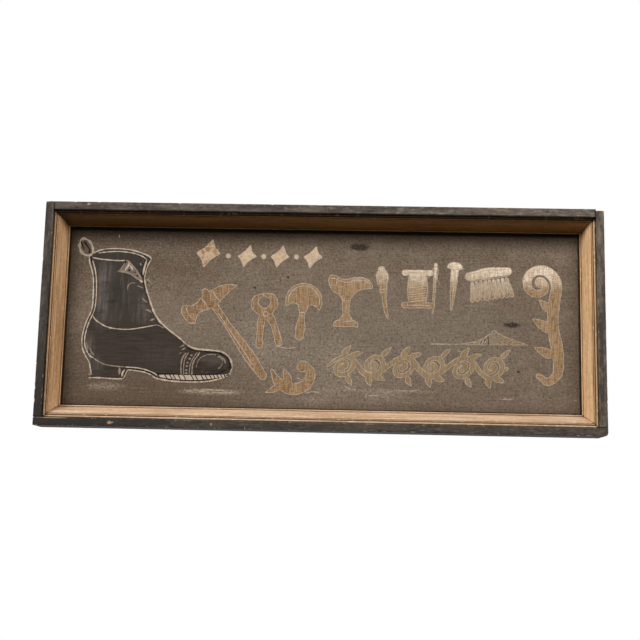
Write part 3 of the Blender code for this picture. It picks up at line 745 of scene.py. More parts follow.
def make_frame():
    """The four black boards, each worn in its own way."""
    low = black_paint("black_paint_low", 0, 0.67, (-0.30, -0.66, 0.80), foot=0.9, blotched=0.15)
    high = black_paint("black_paint_high", 0, 1.28, (-0.20, -0.70, 0.20), joint=inside_stiles)
    left = black_paint("black_paint_left", 2, 0.84, (0.10, -0.26, 0.88), blotched=0.35, joint=above_rail)
    right = black_paint("black_paint_right", 2, 1.09, (0.15, -0.15, 0.10), blotched=0.55, joint=above_rail)
    foot, middle, side, top = RAIL[0].z, PANEL_CENTRE[1], CAD_BOX[1].x, CAD_BOX[1].z
    rail_chips = (
        chip(-0.518, foot + 0.011, 0.008, 0.005, DEEP_CHIP),
        chip(-0.665, RAIL[1].z, 0.050, 0.0018),
        chip(0.637, foot, 0.005, 0.003),
        chip(0.662, foot, 0.006, 0.003),
        chip(-0.266, foot + 0.011, 0.0026, 0.0045),
        chip(-0.258, foot, 0.0026, 0.004),
        chip(-0.182, foot + 0.001, 0.0026, 0.005),
    )
    right_chips = (
        chip(side, top, 0.005, 0.020, DEEP_CHIP),
        chip(side, middle + 0.06, 0.0012, 0.26),
        chip(side, middle - 0.16, 0.0030, 0.010),
        chip(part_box("frame_right_stile")[0].x, middle + 0.05, 0.0030, 0.008),
    )
    top_chips = [chip(-0.600, top - 0.006, 0.006, 0.003, DEEP_CHIP)]
    left_chips = [chip(-side, top, 0.008, 0.004, DEEP_CHIP)]
    top_heads = [name for name in names_with("nail", "_top") if "batten" in name]
    for node, axis, paint, seed, heads, trim, chips in (
        ("frame_bottom_rail", 0, low, 1.3, names_with("nail", "_bottom"), rail_trim, rail_chips),
        ("frame_top_rail", 0, high, 4.7, top_heads, None, top_chips),
        ("frame_left_stile", 2, left, 8.1, names_with("nail_top_left"), None, left_chips),
        ("frame_right_stile", 2, right, 11.9, names_with("nail_top_right"), None, right_chips),
    ):
        worn_board(node, axis, paint, "black_paint", seed, heads, trim=trim, chips=chips)


def half_round(start, width, setback, steps=8):
    """A bead's face from its outer edge to its inner one."""
    radius = width / 2
    turns = np.radians(np.linspace(180, 0, steps + 1))
    return [(start + radius + radius * math.cos(t), setback + radius - radius * math.sin(t)) for t in turns]


def moulding_section(bead_grime, small_grime):
    """The moulding's section, with how much grime and painted shade lie at each point and how far it is
    worn.
    """
    outer, small, inner = half_round(*OUTER_BEAD), half_round(*SMALL_BEAD), half_round(*INNER_BEAD)
    inner = [point for point in inner if point[1] < MOULDING_BACK]
    rows = [((OUTER_BEAD[0], MOULDING_BACK), 0, 0)]
    for bead, base in ((outer, bead_grime), (small, small_grime)):
        share = np.linspace(-1, 1, len(bead))
        rows += [(point, base + 0.2 * s**4, 1 - s * s) for point, s in zip(bead, share)]
        rows.append(((bead[-1][0] + QUIRK_WIDTH / 2, bead[-1][1] + QUIRK_DEPTH), 1.0, 0))
    start = np.array(FACE_START)
    end = np.array((inner[0][0] - QUIRK_WIDTH / 2, INNER_BEAD[2] + QUIRK_DEPTH / 2))
    run = end - start
    normal = np.array((run[1], -run[0])) / np.linalg.norm(run)
    for t in np.linspace(0, 1, FACE_STEPS + 1):
        point = start + run * t + normal * 4 * FACE_CROWN * t * (1 - t)
        scored = sum(share * math.exp(-(((t - at) / width) ** 2)) for at, width, share in FACE_SCORES)
        grime = 0.6 * math.exp(-t / 0.05) + 0.25 * math.exp(-(1 - t) / 0.04) + 0.30 * scored
        grime += 0.16 * smooth_step(0.5, 0.8, t)
        rows.append((tuple(point - normal * SCORE_DEPTH * scored), grime, 0))
    rows += [(point, 0.12, 0.4) for point in inner]
    rows.append(((MOULDING_WIDTH, MOULDING_BACK), 0.9, 0))
    return rows


def make_moulding(node, axis, span, edge, inward, material, seed, bead_grime, small_grime=0.35):
    """One mitred length of moulding with dented beads, over a span, set inward from an edge."""
    rows = moulding_section(bead_grime, small_grime)
    middle, half_run = (span[1] + span[0]) / 2, (span[1] - span[0]) / 2
    count = round(2 * half_run / RING_STEP)
    widths, setbacks = np.array([point for point, _, _ in rows]).T
    rings = np.empty((count + 1, len(rows), 3))
    rings[:, :, axis] = middle + np.linspace(-1, 1, count + 1)[:, None] * (half_run - widths - MITRE_GAP)
    rings[:, :, 1] = RAIL[0].y + setbacks
    rings[:, :, 2 - axis] = edge + inward * widths
    points = rings.reshape(-1, 3)
    crest = np.tile([wear for _, _, wear in rows], count + 1)
    dirt_and_shade = np.tile([grime for _, grime, _ in rows], (count + 1, 1))
    dirt_and_shade[[0, -1]] += MITRE_GRIME
    rough = lumps(points, 0.012, 4, seed)
    dents = crest * smooth_step(0.32, 0.75, rough)
    wear = crest * smooth_step(0.2, 0.9, rough) + 0.6 * dents
    waves = swells(points, streak_size(axis, 0.09, 0.02), 2, seed + 2)
    depth = GILT_UNDULATION * waves + DENT_DEPTH * dents
    carved_piece(f"{node}_gilt", rings, depth, material, "moulding_gilt", node, wear=wear, grime=dirt_and_shade)


def make_mouldings():
    """Four lengths in the corner between the boards and the panel."""
    half = -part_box("frame_left_stile")[1].x
    across, upright = (-half, half), (RAIL[1].z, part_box("frame_top_rail")[0].z)
    # Each length's gilt is toned as painted light: the top length darkened as shade, the sides brightened
    # and the bottom toned down.
    low = tan_gilding("gilding_low", 0, (0.90, 0.97, 1.12), 0.06)
    high = tan_gilding("gilding_high", 0, (0.53, 0.42, 0.22), 0.5)
    left = tan_gilding("gilding_left", 2, (1.12, 1.07, 1.0))
    right = tan_gilding("gilding_right", 2, (1.08, 1.06, 1.0))
    make_moulding("moulding_bottom", 0, across, upright[0], 1, low, 2.2, 0.35, 0.60)
    # The top length's dark outer bead and black left end are painted shadow of the top rail.
    make_moulding("moulding_top", 0, across, upright[1], -1, high, 5.4, 1.6)
    make_moulding("moulding_left", 2, upright, -half, 1, left, 9.6, 0.30)
    make_moulding("moulding_right", 2, upright, half, -1, right, 13, 0.35, 0.55)


def make_panel():
    """Three bare boards, and one sanded ground coat over their faces."""
    wood = bare_wood("bare_board", 0)
    for k, node in enumerate(("panel_board_lower", "panel_board_middle", "panel_board_upper")):
        low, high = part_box(node)
        low.y += COAT_TRIM
        rings, near = board_rings(low, high, 0, PANEL_ARRIS, PANEL_STEP)
        points = rings.reshape(-1, 3)
        seed = 20 + 4 * k
        grain = swells(points, streak_size(0, 0.16, 0.005), 3, seed)
        waves = swells(points, 0.09, 2, seed + 1)
        wear = near * smooth_step(-0.3, 0.6, lumps(points, 0.02, 3, seed + 2))
        depth = PANEL_UNDULATION * waves + PANEL_GRAIN * grain
        carved_piece(f"{node}_bare", rings, depth, wood, "bare_wood", node, wear=wear)
    make_ground_coat()


# Scratches in the paint, each as a run of places
SCRATCHES = (
    [(-527, 213), (-528, 203)],
    [(117, -201), (116, -187)],
    [(122, -192), (136, -193), (151, -191)],
    [(196, -178), (222, -179), (246, -178)],
    [(168, -181), (184, -182)],
    [(456, -195.5), (470, -195), (481, -195.5)],
    [(636, -195), (645, -195.5)],
    [(286, -53), (288, -44)],
    [(-36, -190), (-20, -186), (-2, -187)],
    [(-150, -96), (-146, -84)],
    [(60, -168), (74, -176), (92, -178)],
    [(-60, -150), (-44, -158), (-30, -171)],
    [(-118, -70), (-90, -76), (-64, -75)],
    [(345, -75), (356, -77)],
    [(-335, -190), (-310, -189), (-288, -190)],
    [(-302, -186), (-280, -185), (-262, -186), (-240, -186)],
    [(-276, -193), (-258, -192), (-236, -193), (-214, -191)],
)


def make_ground_coat():
    x, z = [
        np.linspace(low, high, round((high - low) / GROUND_STEP) + 1)
        for low, high in ((PANEL_LOW.x, PANEL_HIGH.x), (PANEL_LOW.z, PANEL_HIGH.z))
    ]
    grid = np.zeros((len(x), len(z) + 2, 3))
    grid[:, :, 0] = x[:, None]
    grid[:, :, 2] = [*z, z[-1], z[0]]
    grid[:, -2:, 1] = GROUND_Y + COAT_TRIM + COAT_LAP
    flat = grid[:, :-2].reshape(-1, 3)
    relief = 0.5 + 0.30 * lumps(flat, (0.12, 1, 0.02), 3, 31) + 0.35 * lumps(flat, (0.012, 1, 0.006), 3, 37)
    grid[:, :-2, 1] = GROUND_Y + GROUND_RELIEF * np.clip(relief, 0, 1).reshape(len(x), len(z))
    add_piece("panel_ground_coat", lofted_mesh("panel_ground_coat", grid), ground_paint())
    chalk = painted("scratched_ground", cream_tint, worn=(0.56, 0.72), fade=0.25)
    dots = [[(x, -188.5), (x + 4, -188.5)] for x in range(-344, -208, 8)]
    scratches = [(run, SCRATCH_HALF_WIDTH) for run in (*SCRATCHES, *dots)]
    paint_piece("panel_scratches", chalk, lines=scratches, stand=LINE_STAND)


def make_battens():
    wood = bare_wood("batten_wood", 2, 0.9)
    for k, node in enumerate(names_with("batten_")):
        if node.startswith("batten_"):
            heads = names_with("screw", node) + names_with("hanger_screw", node.split("_")[1])
            worn_board(node, 2, wood, "bare_wood", 41 + 5 * k, heads, wear=0.6, step=0.003)


def knot_mix(first, second, start, end, at):
    return (first * (end - at) + second * (at - start)) / (end - start)


def smooth_line(points, closed=False, step=LINE_STEP):
    """A line through all the points, straight between two and otherwise a smooth spline."""
    points = [np.array(point, dtype=float) for point in points]
    if len(points) == 2:
        count = max(1, round(np.linalg.norm(points[1] - points[0]) / step))
        return np.linspace(points[0], points[1], count + 1)
    if closed:
        padded = [points[-1], *points, points[0], points[1]]
    else:
        padded = [2 * points[0] - points[1], *points, 2 * points[-1] - points[-2]]
    line = []
    for knots in zip(padded, padded[1:], padded[2:], padded[3:]):
        gaps = [math.sqrt(max(np.linalg.norm(q - p), 1e-6)) for p, q in zip(knots, knots[1:])]
        k = np.concatenate([[0], np.cumsum(gaps)])
        count = max(1, round(np.linalg.norm(knots[2] - knots[1]) / step))
        at = np.linspace(k[1], k[2], count, endpoint=False)[:, None]
        legs = [knot_mix(knots[i], knots[i + 1], k[i], k[i + 1], at) for i in range(3)]
        bends = [knot_mix(legs[i], legs[i + 1], k[i], k[i + 2], at) for i in range(2)]
        line.append(knot_mix(*bends, k[1], k[2], at))
    if not closed:
        line.append(points[-1][None])
    return np.concatenate(line)


def outline(*runs):
    """A closed outline of smooth runs that meet at corners, each going on from the end of the last."""
    ends = [run[-1] for run in runs]
    lines = [smooth_line([end, *run]) for end, run in zip(ends[-1:] + ends, runs)]
    return np.concatenate([line[:-1] for line in lines])


def along_line(line):
    """How far each point lies along the line, from 0."""
    return np.concatenate([[0], np.cumsum(np.linalg.norm(np.diff(line, axis=0), axis=1))])


def side_ways(line, closed=False):
    """The unit vector across the line at each of its points."""
    if closed:
        way = np.roll(line, -1, axis=0) - np.roll(line, 1, axis=0)
    else:
        way = np.gradient(line, axis=0)
    way /= np.maximum(np.linalg.norm(way, axis=1, keepdims=True), 1e-9)
    return np.stack([-way[:, 1], way[:, 0]], axis=-1)


def stroke(points, half_widths, step=LINE_STEP):
    """A closed outline round a smooth centre line, whose half widths are given evenly along it."""
    line = smooth_line(points, step=step)
    far = along_line(line)
    half = np.interp(far, np.linspace(0, far[-1], len(half_widths)), half_widths)
    side = side_ways(line)
    left, right = line + side * half[:, None], line - side * half[:, None]
    caps = []
    for centre, radius, way in ((line[-1], half[-1], side[-1]), (line[0], half[0], -side[0])):
        count = max(2, round(math.pi * radius / step))
        turns = math.atan2(way[1], way[0]) - np.linspace(0, math.pi, count + 1)[1:-1]
        caps.append(centre + radius * np.stack([np.cos(turns), np.sin(turns)], axis=-1))
    return np.concatenate([left, caps[0], right[::-1], caps[1]])


def ellipse(x, z, half_width, half_height, count=40):
    angles = np.linspace(0, math.tau, count, endpoint=False)
    return np.stack([x + half_width * np.cos(angles), z + half_height * np.sin(angles)], axis=-1)


def moved(points, at=(0, 0), turn=0.0, slant=0.0):
    """Points slanted, turned by degrees and moved to a place."""
    points = np.array(points, dtype=float)
    points[:, 0] += slant * points[:, 1]
    c, s = math.cos(math.radians(turn)), math.sin(math.radians(turn))
    return points @ np.array([[c, s], [-s, c]]) + np.array(at)


def on_panel(points, stand):
    """Places in metres of points given in millimetres, proud of the ground by stand."""
    return [(PANEL_CENTRE[0] + x * MM, GROUND_Y - stand, PANEL_CENTRE[1] + z * MM) for x, z in points]


def merged(loops):
    """The area that overlapping outlines cover together, as its points, triangles and boundary loops."""
    places, outlines = [], []
    for loop in loops:
        loop = np.asarray(loop, dtype=float)
        turning = np.cross(loop, np.roll(loop, -1, axis=0)).sum()
        outlines.append(list(range(len(places), len(places) + len(loop))))
        places += [Vector(point) for point in (loop if turning > 0 else loop[::-1]).tolist()]
    points, _, faces, _, _, sources = delaunay_2d_cdt(places, [], outlines, 0, MERGE_REACH)
    triangles = [tuple(face) for face, inside in zip(faces, sources) if inside]
    edges = {pair for face in triangles for pair in zip(face, face[1:] + face[:1])}
    following = {}
    for first, second in sorted(edges):
        if (second, first) not in edges:
            following.setdefault(first, []).append(second)
    boundaries = []
    while following:
        start = next(iter(following))
        loop = [start]
        while loop[-1] in following:
            after = following[loop[-1]].pop()
            if not following[loop[-1]]:
                del following[loop[-1]]
            if after == start:
                break
            loop.append(after)
        boundaries.append(np.array([points[index][:] for index in loop]))
    return points, triangles, boundaries


def add_plates(bm, loops, stand):
    """One thin plate of paint over the area of all the outlines."""
    points, triangles, _ = merged(loops)
    places = on_panel([point[:] for point in points], stand)
    used = {index: bm.verts.new(places[index]) for index in sorted({i for face in triangles for i in face})}
    faces = [bm.faces.new([used[index] for index in face]) for face in triangles]
    grown = bmesh.ops.extrude_face_region(bm, geom=faces)
    verts = [item for item in grown["geom"] if isinstance(item, bmesh.types.BMVert)]
    bmesh.ops.translate(bm, vec=(0, stand + PAINT_ROOT, 0), verts=verts)


def add_line(bm, line, half_width, stand, closed=False, seed=0.0, taper=5.0):
    """A brushed line whose width wavers, drawn out to a fine point at its open ends."""
    far = along_line(line)
    waver = lumps(np.column_stack([line, np.full(len(line), seed)]), 11, 4, seed)
    half = half_width * np.maximum(0.35, 1 + 0.75 * waver)
    if not closed:
        half = half * (0.35 + 0.65 * smooth_step(0, taper, np.minimum(far, far[-1] - far)))
    side = side_ways(line, closed) * half[:, None]
    left, right = line + side, line - side
    corners = ((left, stand), (right, stand), (right, -PAINT_ROOT), (left, -PAINT_ROOT))
    rows = [[bm.verts.new(place) for place in on_panel(*corner)] for corner in corners]
    count = len(line)
    for k in range(count if closed else count - 1):
        after = (k + 1) % count
        for this, following in zip(rows, rows[1:] + rows[:1]):
            bm.faces.new((this[k], following[k], following[after], this[after]))
    if not closed:
        bm.faces.new([row[0] for row in rows][::-1])
        bm.faces.new([row[-1] for row in rows])


def paint_piece(name, material, plates=(), lines=(), outlines=(), half_width=1.5, stand=FILL_STAND):
    """A painted piece of plates, of lines with their half widths, and of closed outlines."""
    bm = bmesh.new()
    if plates:
        add_plates(bm, plates, stand)
    for k, (points, width) in enumerate(lines):
        add_line(bm, smooth_line(points), width, stand, seed=k * 1.7)
    for k, loop in enumerate(outlines):
        add_line(bm, loop, half_width, stand, closed=True, seed=k * 2.3)
    bmesh.ops.recalc_face_normals(bm, faces=bm.faces)
    add_piece(name, mesh_of(bm, name), material)


# The boot's contour, as the runs of its edge from the top of its back round to its collar
BOOT_BACK = [
    (-603, 153), (-601, 138), (-595, 120), (-590, 100), (-588, 78), (-587, 50), (-588, 22), (-592, 4),
    (-600, -14), (-607, -40), (-610, -64), (-607, -86), (-598, -106), (-588, -122), (-585, -134),
    (-581, -152),
]
BOOT_HEEL = [(-582, -161), (-499, -162), (-489, -139)]
BOOT_WAIST = [(-489, -139), (-462, -141.5), (-440, -146), (-426, -152)]
BOOT_SOLE = [
    (-426, -152), (-418, -158), (-401, -162), (-368, -166), (-325, -167), (-281, -164), (-251, -156),
    (-231, -146), (-223, -130),
]
BOOT_FRONT = [
    (-223, -130), (-225, -116), (-233, -101), (-251, -89), (-281, -85), (-318, -82), (-338, -74),
    (-357, -58), (-388, -35), (-412, -14), (-427, 8), (-441, 42), (-452, 74), (-457, 97),
]
BOOT_LIP = [(-457, 97), (-455, 112), (-449, 134), (-441, 149)]
BOOT_COLLAR = [
    (-441, 149), (-447, 155), (-465, 163), (-484, 169), (-508, 173), (-532, 174.5), (-559, 173),
    (-580, 168), (-593, 161),
]


def boot_fill():
    """The boot's whole outline."""
    heel = [[corner] for corner in BOOT_HEEL]
    runs = [run[1:] for run in (BOOT_WAIST, BOOT_SOLE, BOOT_FRONT, BOOT_LIP, BOOT_COLLAR)]
    return outline(BOOT_BACK[1:], *heel, *runs, [BOOT_BACK[0]])


def boot_lines():
    """The cream lines of the boot: its double contour, its collar, its seam, its waist and its heel."""
    inner_back = [
        (-594, 142), (-589, 129), (-584, 110), (-581, 90), (-579.5, 60), (-580, 28), (-583, 10), (-588, -4),
        (-594, -18), (-600, -40), (-603, -62), (-601, -80), (-595, -94), (-585, -107), (-577, -110),
    ]
    seam = [
        (-586, -1), (-579, -11), (-570, -18), (-547, -30), (-516, -35), (-488, -35), (-457, -30),
        (-420, -22.5),
    ]
    return [
        (BOOT_BACK, 1.5),
        (inner_back, 1.3),
        (BOOT_SOLE, 1.6),
        (BOOT_FRONT, 1.8),
        (BOOT_LIP, 1.4),
        (BOOT_COLLAR, 1.5),
        (BOOT_WAIST, 1.3),
        ([(-496, -132), (-462, -134), (-436, -140), (-418, -148), (-409, -155)], 1.3),
        (seam, 1.2),
        ([(-580, 162), (-559, 165), (-533, 167), (-508, 166), (-484, 162), (-465, 155), (-453, 147)], 1.3),
        ([(-453, 147), (-458, 128), (-461.5, 106)], 1.9),
        ([(-594, 150), (-575, 146.5), (-545, 144), (-520, 143), (-510, 144)], 1.4),
        ([(-499, 140), (-500, 131), (-505, 123), (-509, 117)], 2.0),
        ([(-497, 132), (-491, 124), (-488, 118)], 1.6),
        ([(-471, 94), (-461, 87)], 2.6),
        ([(-589, -152), (-579, -152)], 1.3),
        ([(-588, -161.5), (-564, -160.5), (-518, -162.5), (-499, -162)], 1.4),
        ([(-499, -162), (-493, -149), (-489, -139)], 1.3),
        ([(-503, -157), (-501, -146), (-496, -138)], 1.8),
    ]


def boot_plates():
    """The boot's flap, its dark toe and the band beside it."""
    flap = outline(
        [(-513, 127), (-506, 137), (-500, 143)],
        [(-485, 126), (-471, 106), (-460, 88)],
        [(-473, 95), (-494, 108), (-526, 113)],
    )
    toe = [
        (-318, -146), (-319, -128), (-312, -110), (-298, -98), (-272, -93), (-252, -97), (-238, -108),
        (-232, -122), (-235, -135), (-252, -143), (-284, -147),
    ]
    band = stroke([(-328, -90), (-336, -106), (-340, -126), (-339, -148)], (5, 6, 7, 6.5))
    return flap, smooth_line(toe, closed=True), band


def pull_loop():
    """The loop at the back of the boot's collar."""
    points = [
        (-604, 155), (-613, 156.5), (-622, 162), (-628, 173), (-629.5, 184), (-627, 196), (-619, 199.5),
        (-609, 196), (-600, 187), (-595, 174), (-594, 163),
    ]
    return smooth_line(points, closed=True)


def boot_soft_lines():
    """The boot's duller strokes: the flap's edges, the laces, the stitched band and the toe's light."""
    return [
        ([(-507, 145), (-499, 140), (-491, 132), (-485, 126), (-477, 116), (-471, 106), (-464, 95)], 1.5),
        ([(-509, 137), (-515, 128), (-521, 119), (-528, 113)], 1.1),
        ([(-521, 114), (-510, 114), (-502, 111), (-494, 108), (-486, 104), (-478, 98), (-470, 93)], 2.1),
        ([(-469, 138), (-468, 131)], 2.0),
        ([(-450, 93), (-444, 99)], 1.6),
        ([(-461, 45), (-454, 40), (-447, 35)], 1.9),
        ([(-451, 16), (-442, 14), (-435, 9)], 1.9),
        ([(-438, -12), (-431, -9), (-425, -7)], 1.9),
        ([(-420, -22.5), (-410, -26), (-401, -31)], 1.2),
        ([(-577, -111), (-568, -117), (-549, -126), (-523, -130), (-496, -132)], 1.2),
        ([(-509.5, -133), (-509.5, -152)], 1.9),
        ([(-341, -93), (-348, -101), (-352, -112), (-353.5, -129), (-352, -149)], 1.5),
        ([(-335, -92), (-341, -101), (-345, -112), (-346.5, -129), (-345.5, -149)], 1.1),
        ([(-306, -89), (-313, -101), (-319, -109), (-324, -124), (-325, -149)], 1.6),
        ([(-313, -90), (-321, -102), (-326, -112), (-330.5, -126), (-331.5, -149)], 1.0),
        ([(-300, -102), (-288, -97), (-270, -96), (-257, -99.5)], 1.3),
        ([(-266, -97), (-252, -102.5), (-243, -110), (-241, -119)], 1.7),
        ([(-262, -101), (-251, -107), (-246, -114)], 1.0),
    ]


def boot_faint_lines():
    """Rubbed strokes: the laces, the light on the heel and the toe, and rays beside the stitched band."""
    return [
        ([(-499, 66), (-498, 78), (-490, 85), (-476, 84)], 1.2),
        ([(-476, 78), (-468, 76), (-460, 72)], 1.1),
        ([(-456, 95), (-450, 94), (-444, 91), (-439, 86), (-435, 77)], 1.8),
        ([(-437, 82), (-434, 72), (-433, 64)], 1.2),
        ([(-588, -84), (-583, -96), (-576, -104)], 1.8),
        ([(-593, -86), (-588, -97), (-581, -104)], 1.4),
        ([(-598, -70), (-594, -86), (-587, -99)], 1.6),
        ([(-315, -130), (-311, -114), (-302, -103), (-292, -99)], 1.2),
        ([(-248, -116), (-252, -126), (-260, -133)], 1.6),
        ([(-354, -86), (-343, -80)], 1.6),
        ([(-360, -80), (-346, -72)], 1.2),
        ([(-350, -70), (-341, -66)], 1.0),
        ([(-360, -96), (-352, -92)], 1.2),
    ]


def boot_dark_lines():
    """Black strokes in the pull loop, under the contours and along the top of the welt."""
    under_vamp = [(-342, -80), (-318, -87), (-281, -90), (-254, -94), (-239, -104), (-229, -120)]
    return [
        ([(-626, 192), (-624, 186), (-621, 179), (-616, 170)], 1.9),
        ([(-619, 192), (-613, 185), (-608, 179), (-604, 172), (-602, 158)], 1.9),
        ([(-598, 158), (-597, 146), (-593, 132)], 1.4),
        ([(-457, 143), (-461, 128), (-465, 108), (-459, 98)], 1.4),
        ([(-461, 92), (-457, 78), (-452, 64), (-445, 45)], 1.5),
        ([*under_vamp, (-231, -136)], 1.5),
        ([(-424, -147), (-400, -147.5), (-355, -148)], 1.9),
        ([(-323, -149), (-290, -148), (-256, -143), (-240, -135)], 1.6),
        ([(-507, -136), (-507, -155)], 1.5),
        ([(-487, -136.5), (-462, -138), (-438, -143), (-424, -149)], 1.1),
    ]


def welt_height(x):
    """How high the middle of the welt lies at x."""
    return -155.8 + (0.0009 if x > -330 else 0.0005) * (x + 330) ** 2


def welt():
    """The pale strip that the sole is stitched to."""
    return stroke([(x, welt_height(x)) for x in range(-410, -227, 13)], (2.5, 5.5, 6, 5.5, 4, 1.5))


def welt_ticks():
    """Black stitches slanting across the welt, in uneven steps."""
    places = (-409, -391, -378, -369, -356, -343, -323, -313, -298, -288, -277, -268, -259, -250, -242)
    return [stroke([(x - 3, welt_height(x) + 5), (x + 3, welt_height(x) - 5)], (1.2, 1.2)) for x in places]


def make_boot():
    """A lace-up boot, the old figure of the shoemaker's trade, in black with double cream contours."""
    black = painted("boot_black", boot_tint, worn=(0.66, 0.80))
    dark = painted("boot_toe_black", toe_tint, worn=(0.68, 0.80))
    soot = painted("boot_soot_line", soot_tint, worn=(0.66, 0.80))
    cream = painted("cream_line", cream_tint, worn=(0.58, 0.76), fade=0.08)
    dull = painted("dull_cream_line", dull_cream_tint, worn=(0.52, 0.72), fade=0.15)
    faint = painted("faint_cream_line", cream_tint, worn=(0.56, 0.74), fade=0.35)
    chalk = painted("rubbed_cream", dull_cream_tint, worn=(0.46, 0.66), fade=0.40)
    haze = painted("grey_haze", haze_tint, worn=(0.50, 0.70), fade=0.10)
    flap, toe, band = boot_plates()
    spots = ((-497.5, 118, 3.2), (-476, 104, 2.4), (-482, 113, 2.0), (-464, 136, 2.2), (-448.5, 86, 1.8))
    eyelets = [ellipse(x, z, size, 0.9 * size, count=16) for x, z, size in spots]
    places = ((-328, -99), (-332, -108), (-337, -118), (-339, -127), (-339.5, -137), (-339, -145))
    links = [ellipse(x, z, 3.0, 2.4) for x, z in places]
    loop = [pull_loop()]
    paint_piece("boot_leather", black, [boot_fill()], stand=LINE_STAND)
    paint_piece("boot_flap", haze, [flap])
    paint_piece("boot_toe_and_band", dark, [toe, band])
    paint_piece("boot_dark_strokes", soot, eyelets, boot_dark_lines(), stand=DARK_STAND)
    paint_piece("boot_pull_loop", faint, outlines=loop, half_width=2.7, stand=DETAIL_STAND)
    paint_piece("boot_contours", cream, [welt()], boot_lines(), stand=DETAIL_STAND)
    paint_piece("boot_faint_strokes", chalk, (), boot_faint_lines(), stand=DETAIL_STAND)
    paint_piece("boot_soft_strokes", dull, links, boot_soft_lines(), stand=TOP_STAND)
    paint_piece("boot_welt_ticks", soot, welt_ticks(), stand=TOP_STAND)


def gilt_motif(name, paints, parts, details=(), at=(0, 0), turn=0.0, slant=0.0, width=1.4):
    """A gilt figure of overlapping parts, with one cream outline round them all and cream lines on it."""
    gilt, cream = paints
    loops = [moved(part, at, turn, slant) for part in parts]
    edges = merged(loops)[2]
    paint_piece(f"{name}_gilt", gilt, loops)
    paint_piece(f"{name}_outline", cream, outlines=edges, half_width=width, stand=LINE_STAND)
    if details:
        lines = [(moved(line, at, turn, slant), DETAIL_HALF_WIDTH) for line in details]
        paint_piece(f"{name}_lines", cream, lines=lines, stand=DETAIL_STAND)


def mirrored(points):
    return [(-x, z) for x, z in points]


def spiral(centre, start, sweep, first, last, steps=12):
    """Points round a centre through sweep degrees, as their distance from it goes from first to last."""
    turns = np.radians(start + sweep * np.linspace(0, 1, steps + 1))
    away = np.linspace(first, last, steps + 1)
    return list(zip(centre[0] + away * np.cos(turns), centre[1] + away * np.sin(turns)))


def leaf(at, turn, length, width):
    """A pointed leaf that grows from a place at an angle, fuller on its upper side."""
    top = [(0.28 * length, 0.9 * width), (0.62 * length, 0.8 * width), (length, 0.1 * width)]
    low = [(0.60 * length, -0.5 * width), (0.28 * length, -0.6 * width), (0, 0)]
    return moved(outline(top, low), at, turn)


def hammer():
    """A shoemaker's hammer with a domed face, a thin cross peen and a waisted handle."""
    head = outline(
        [(-58, 20), (-46, 13), (-30, 13), (-18, 18)],
        [(0, 20), (18, 18)],
        [(40, 14), (62, 4), (76, -8)],
        [(60, -9), (40, -12), (18, -17)],
        [(0, -19), (-18, -17)],
        [(-30, -12), (-46, -12), (-58, -19), (-66, -27)],
        [(-75, -21), (-80, 0), (-75, 21), (-66, 27)],
    )
    handle = stroke([(0, 24), (0, -40), (0, -100), (0, -160), (0, -210), (0, -238)], (8, 8, 7, 11, 13, 9))
    collar = [[(side * 18, 18), (side * 16, 0), (side * 18, -17)] for side in (-1, 1)]
    return [handle, head], [*collar, [(-62, 21), (-67, 0), (-62, -21)], [(-3, -40), (-4, -150), (-6, -200)]]


def pincers():
    """Lasting pincers with curved jaws and round-ended handles."""
    half = [(2, 66), (21, 56), (25, 40), (12, 24), (-4, 12), (-14, -4), (-20, -30), (-25, -62)]
    widths = (3, 7, 9, 9, 9, 7, 7, 8)
    parts = [stroke(half, widths), stroke(mirrored(half), widths), ellipse(0, 15, 14, 14)]
    return parts, [spiral((0, 15), 0, 350, 6, 6), [(0, 66), (0, 58)]]


def head_knife():
    """A half-moon leather knife with its handle below."""
    edge = spiral((0, 22), 203, -226, 46, 46)
    blade = outline(edge[1:], [(29, 15), (14, 13), (9, -2)], [(-9, -2)], [(-14, 13), (-29, 15), edge[0]])
    handle = stroke([(0, 4), (0, -16), (0, -44), (0, -68)], (7, 6, 11, 9))
    return [blade, handle], [spiral((0, 22), 190, -200, 40, 40), [(-8, -7), (8, -7)], [(-6, -15), (6, -15)]]


def last_on_jack():
    """An iron last, sole upwards, on its jack's post and foot."""
    shape = outline(
        [(-41, 63), (-27, 62), (-13, 55), (3, 53), (22, 58), (43, 58), (58, 51), (66, 40)],
        [(65, 33), (55, 31), (38, 28), (22, 19), (12, 5)],
        [(8, -18), (8, -37), (16, -52)],
        [(29, -58), (30, -68)],
        [(-30, -68)],
        [(-29, -58), (-16, -52)],
        [(-8, -37), (-8, -18), (-10, 4)],
        [(-19, 14), (-33, 23), (-41, 35), (-45, 51)],
    )
    sole = [(-42, 56), (-27, 55), (-13, 48), (3, 46), (22, 51), (43, 51), (60, 43)]
    heel = [(-41, 39), (-27, 37), (-24, 53)]
    return [shape], [sole, heel, [(-10, 0), (0, -3), (10, 0)], [(-17, -53), (0, -55), (17, -53)]]


def awl():
    """A stitching awl with a bulb handle, a ferrule and a bent blade."""
    handle = stroke([(0, 62), (0, 44), (0, 26), (0, 12), (0, 4)], (8, 15, 14, 8, 8))
    blade = stroke([(0, 4), (0, -22), (1, -44), (5, -66)], (4.5, 4.2, 3.6, 1.2))
    return [blade, handle], [[(-8, 11), (8, 11)], [(-8, 3), (8, 3)], [(-9, 44), (-9, 34), (-6, 24)]]


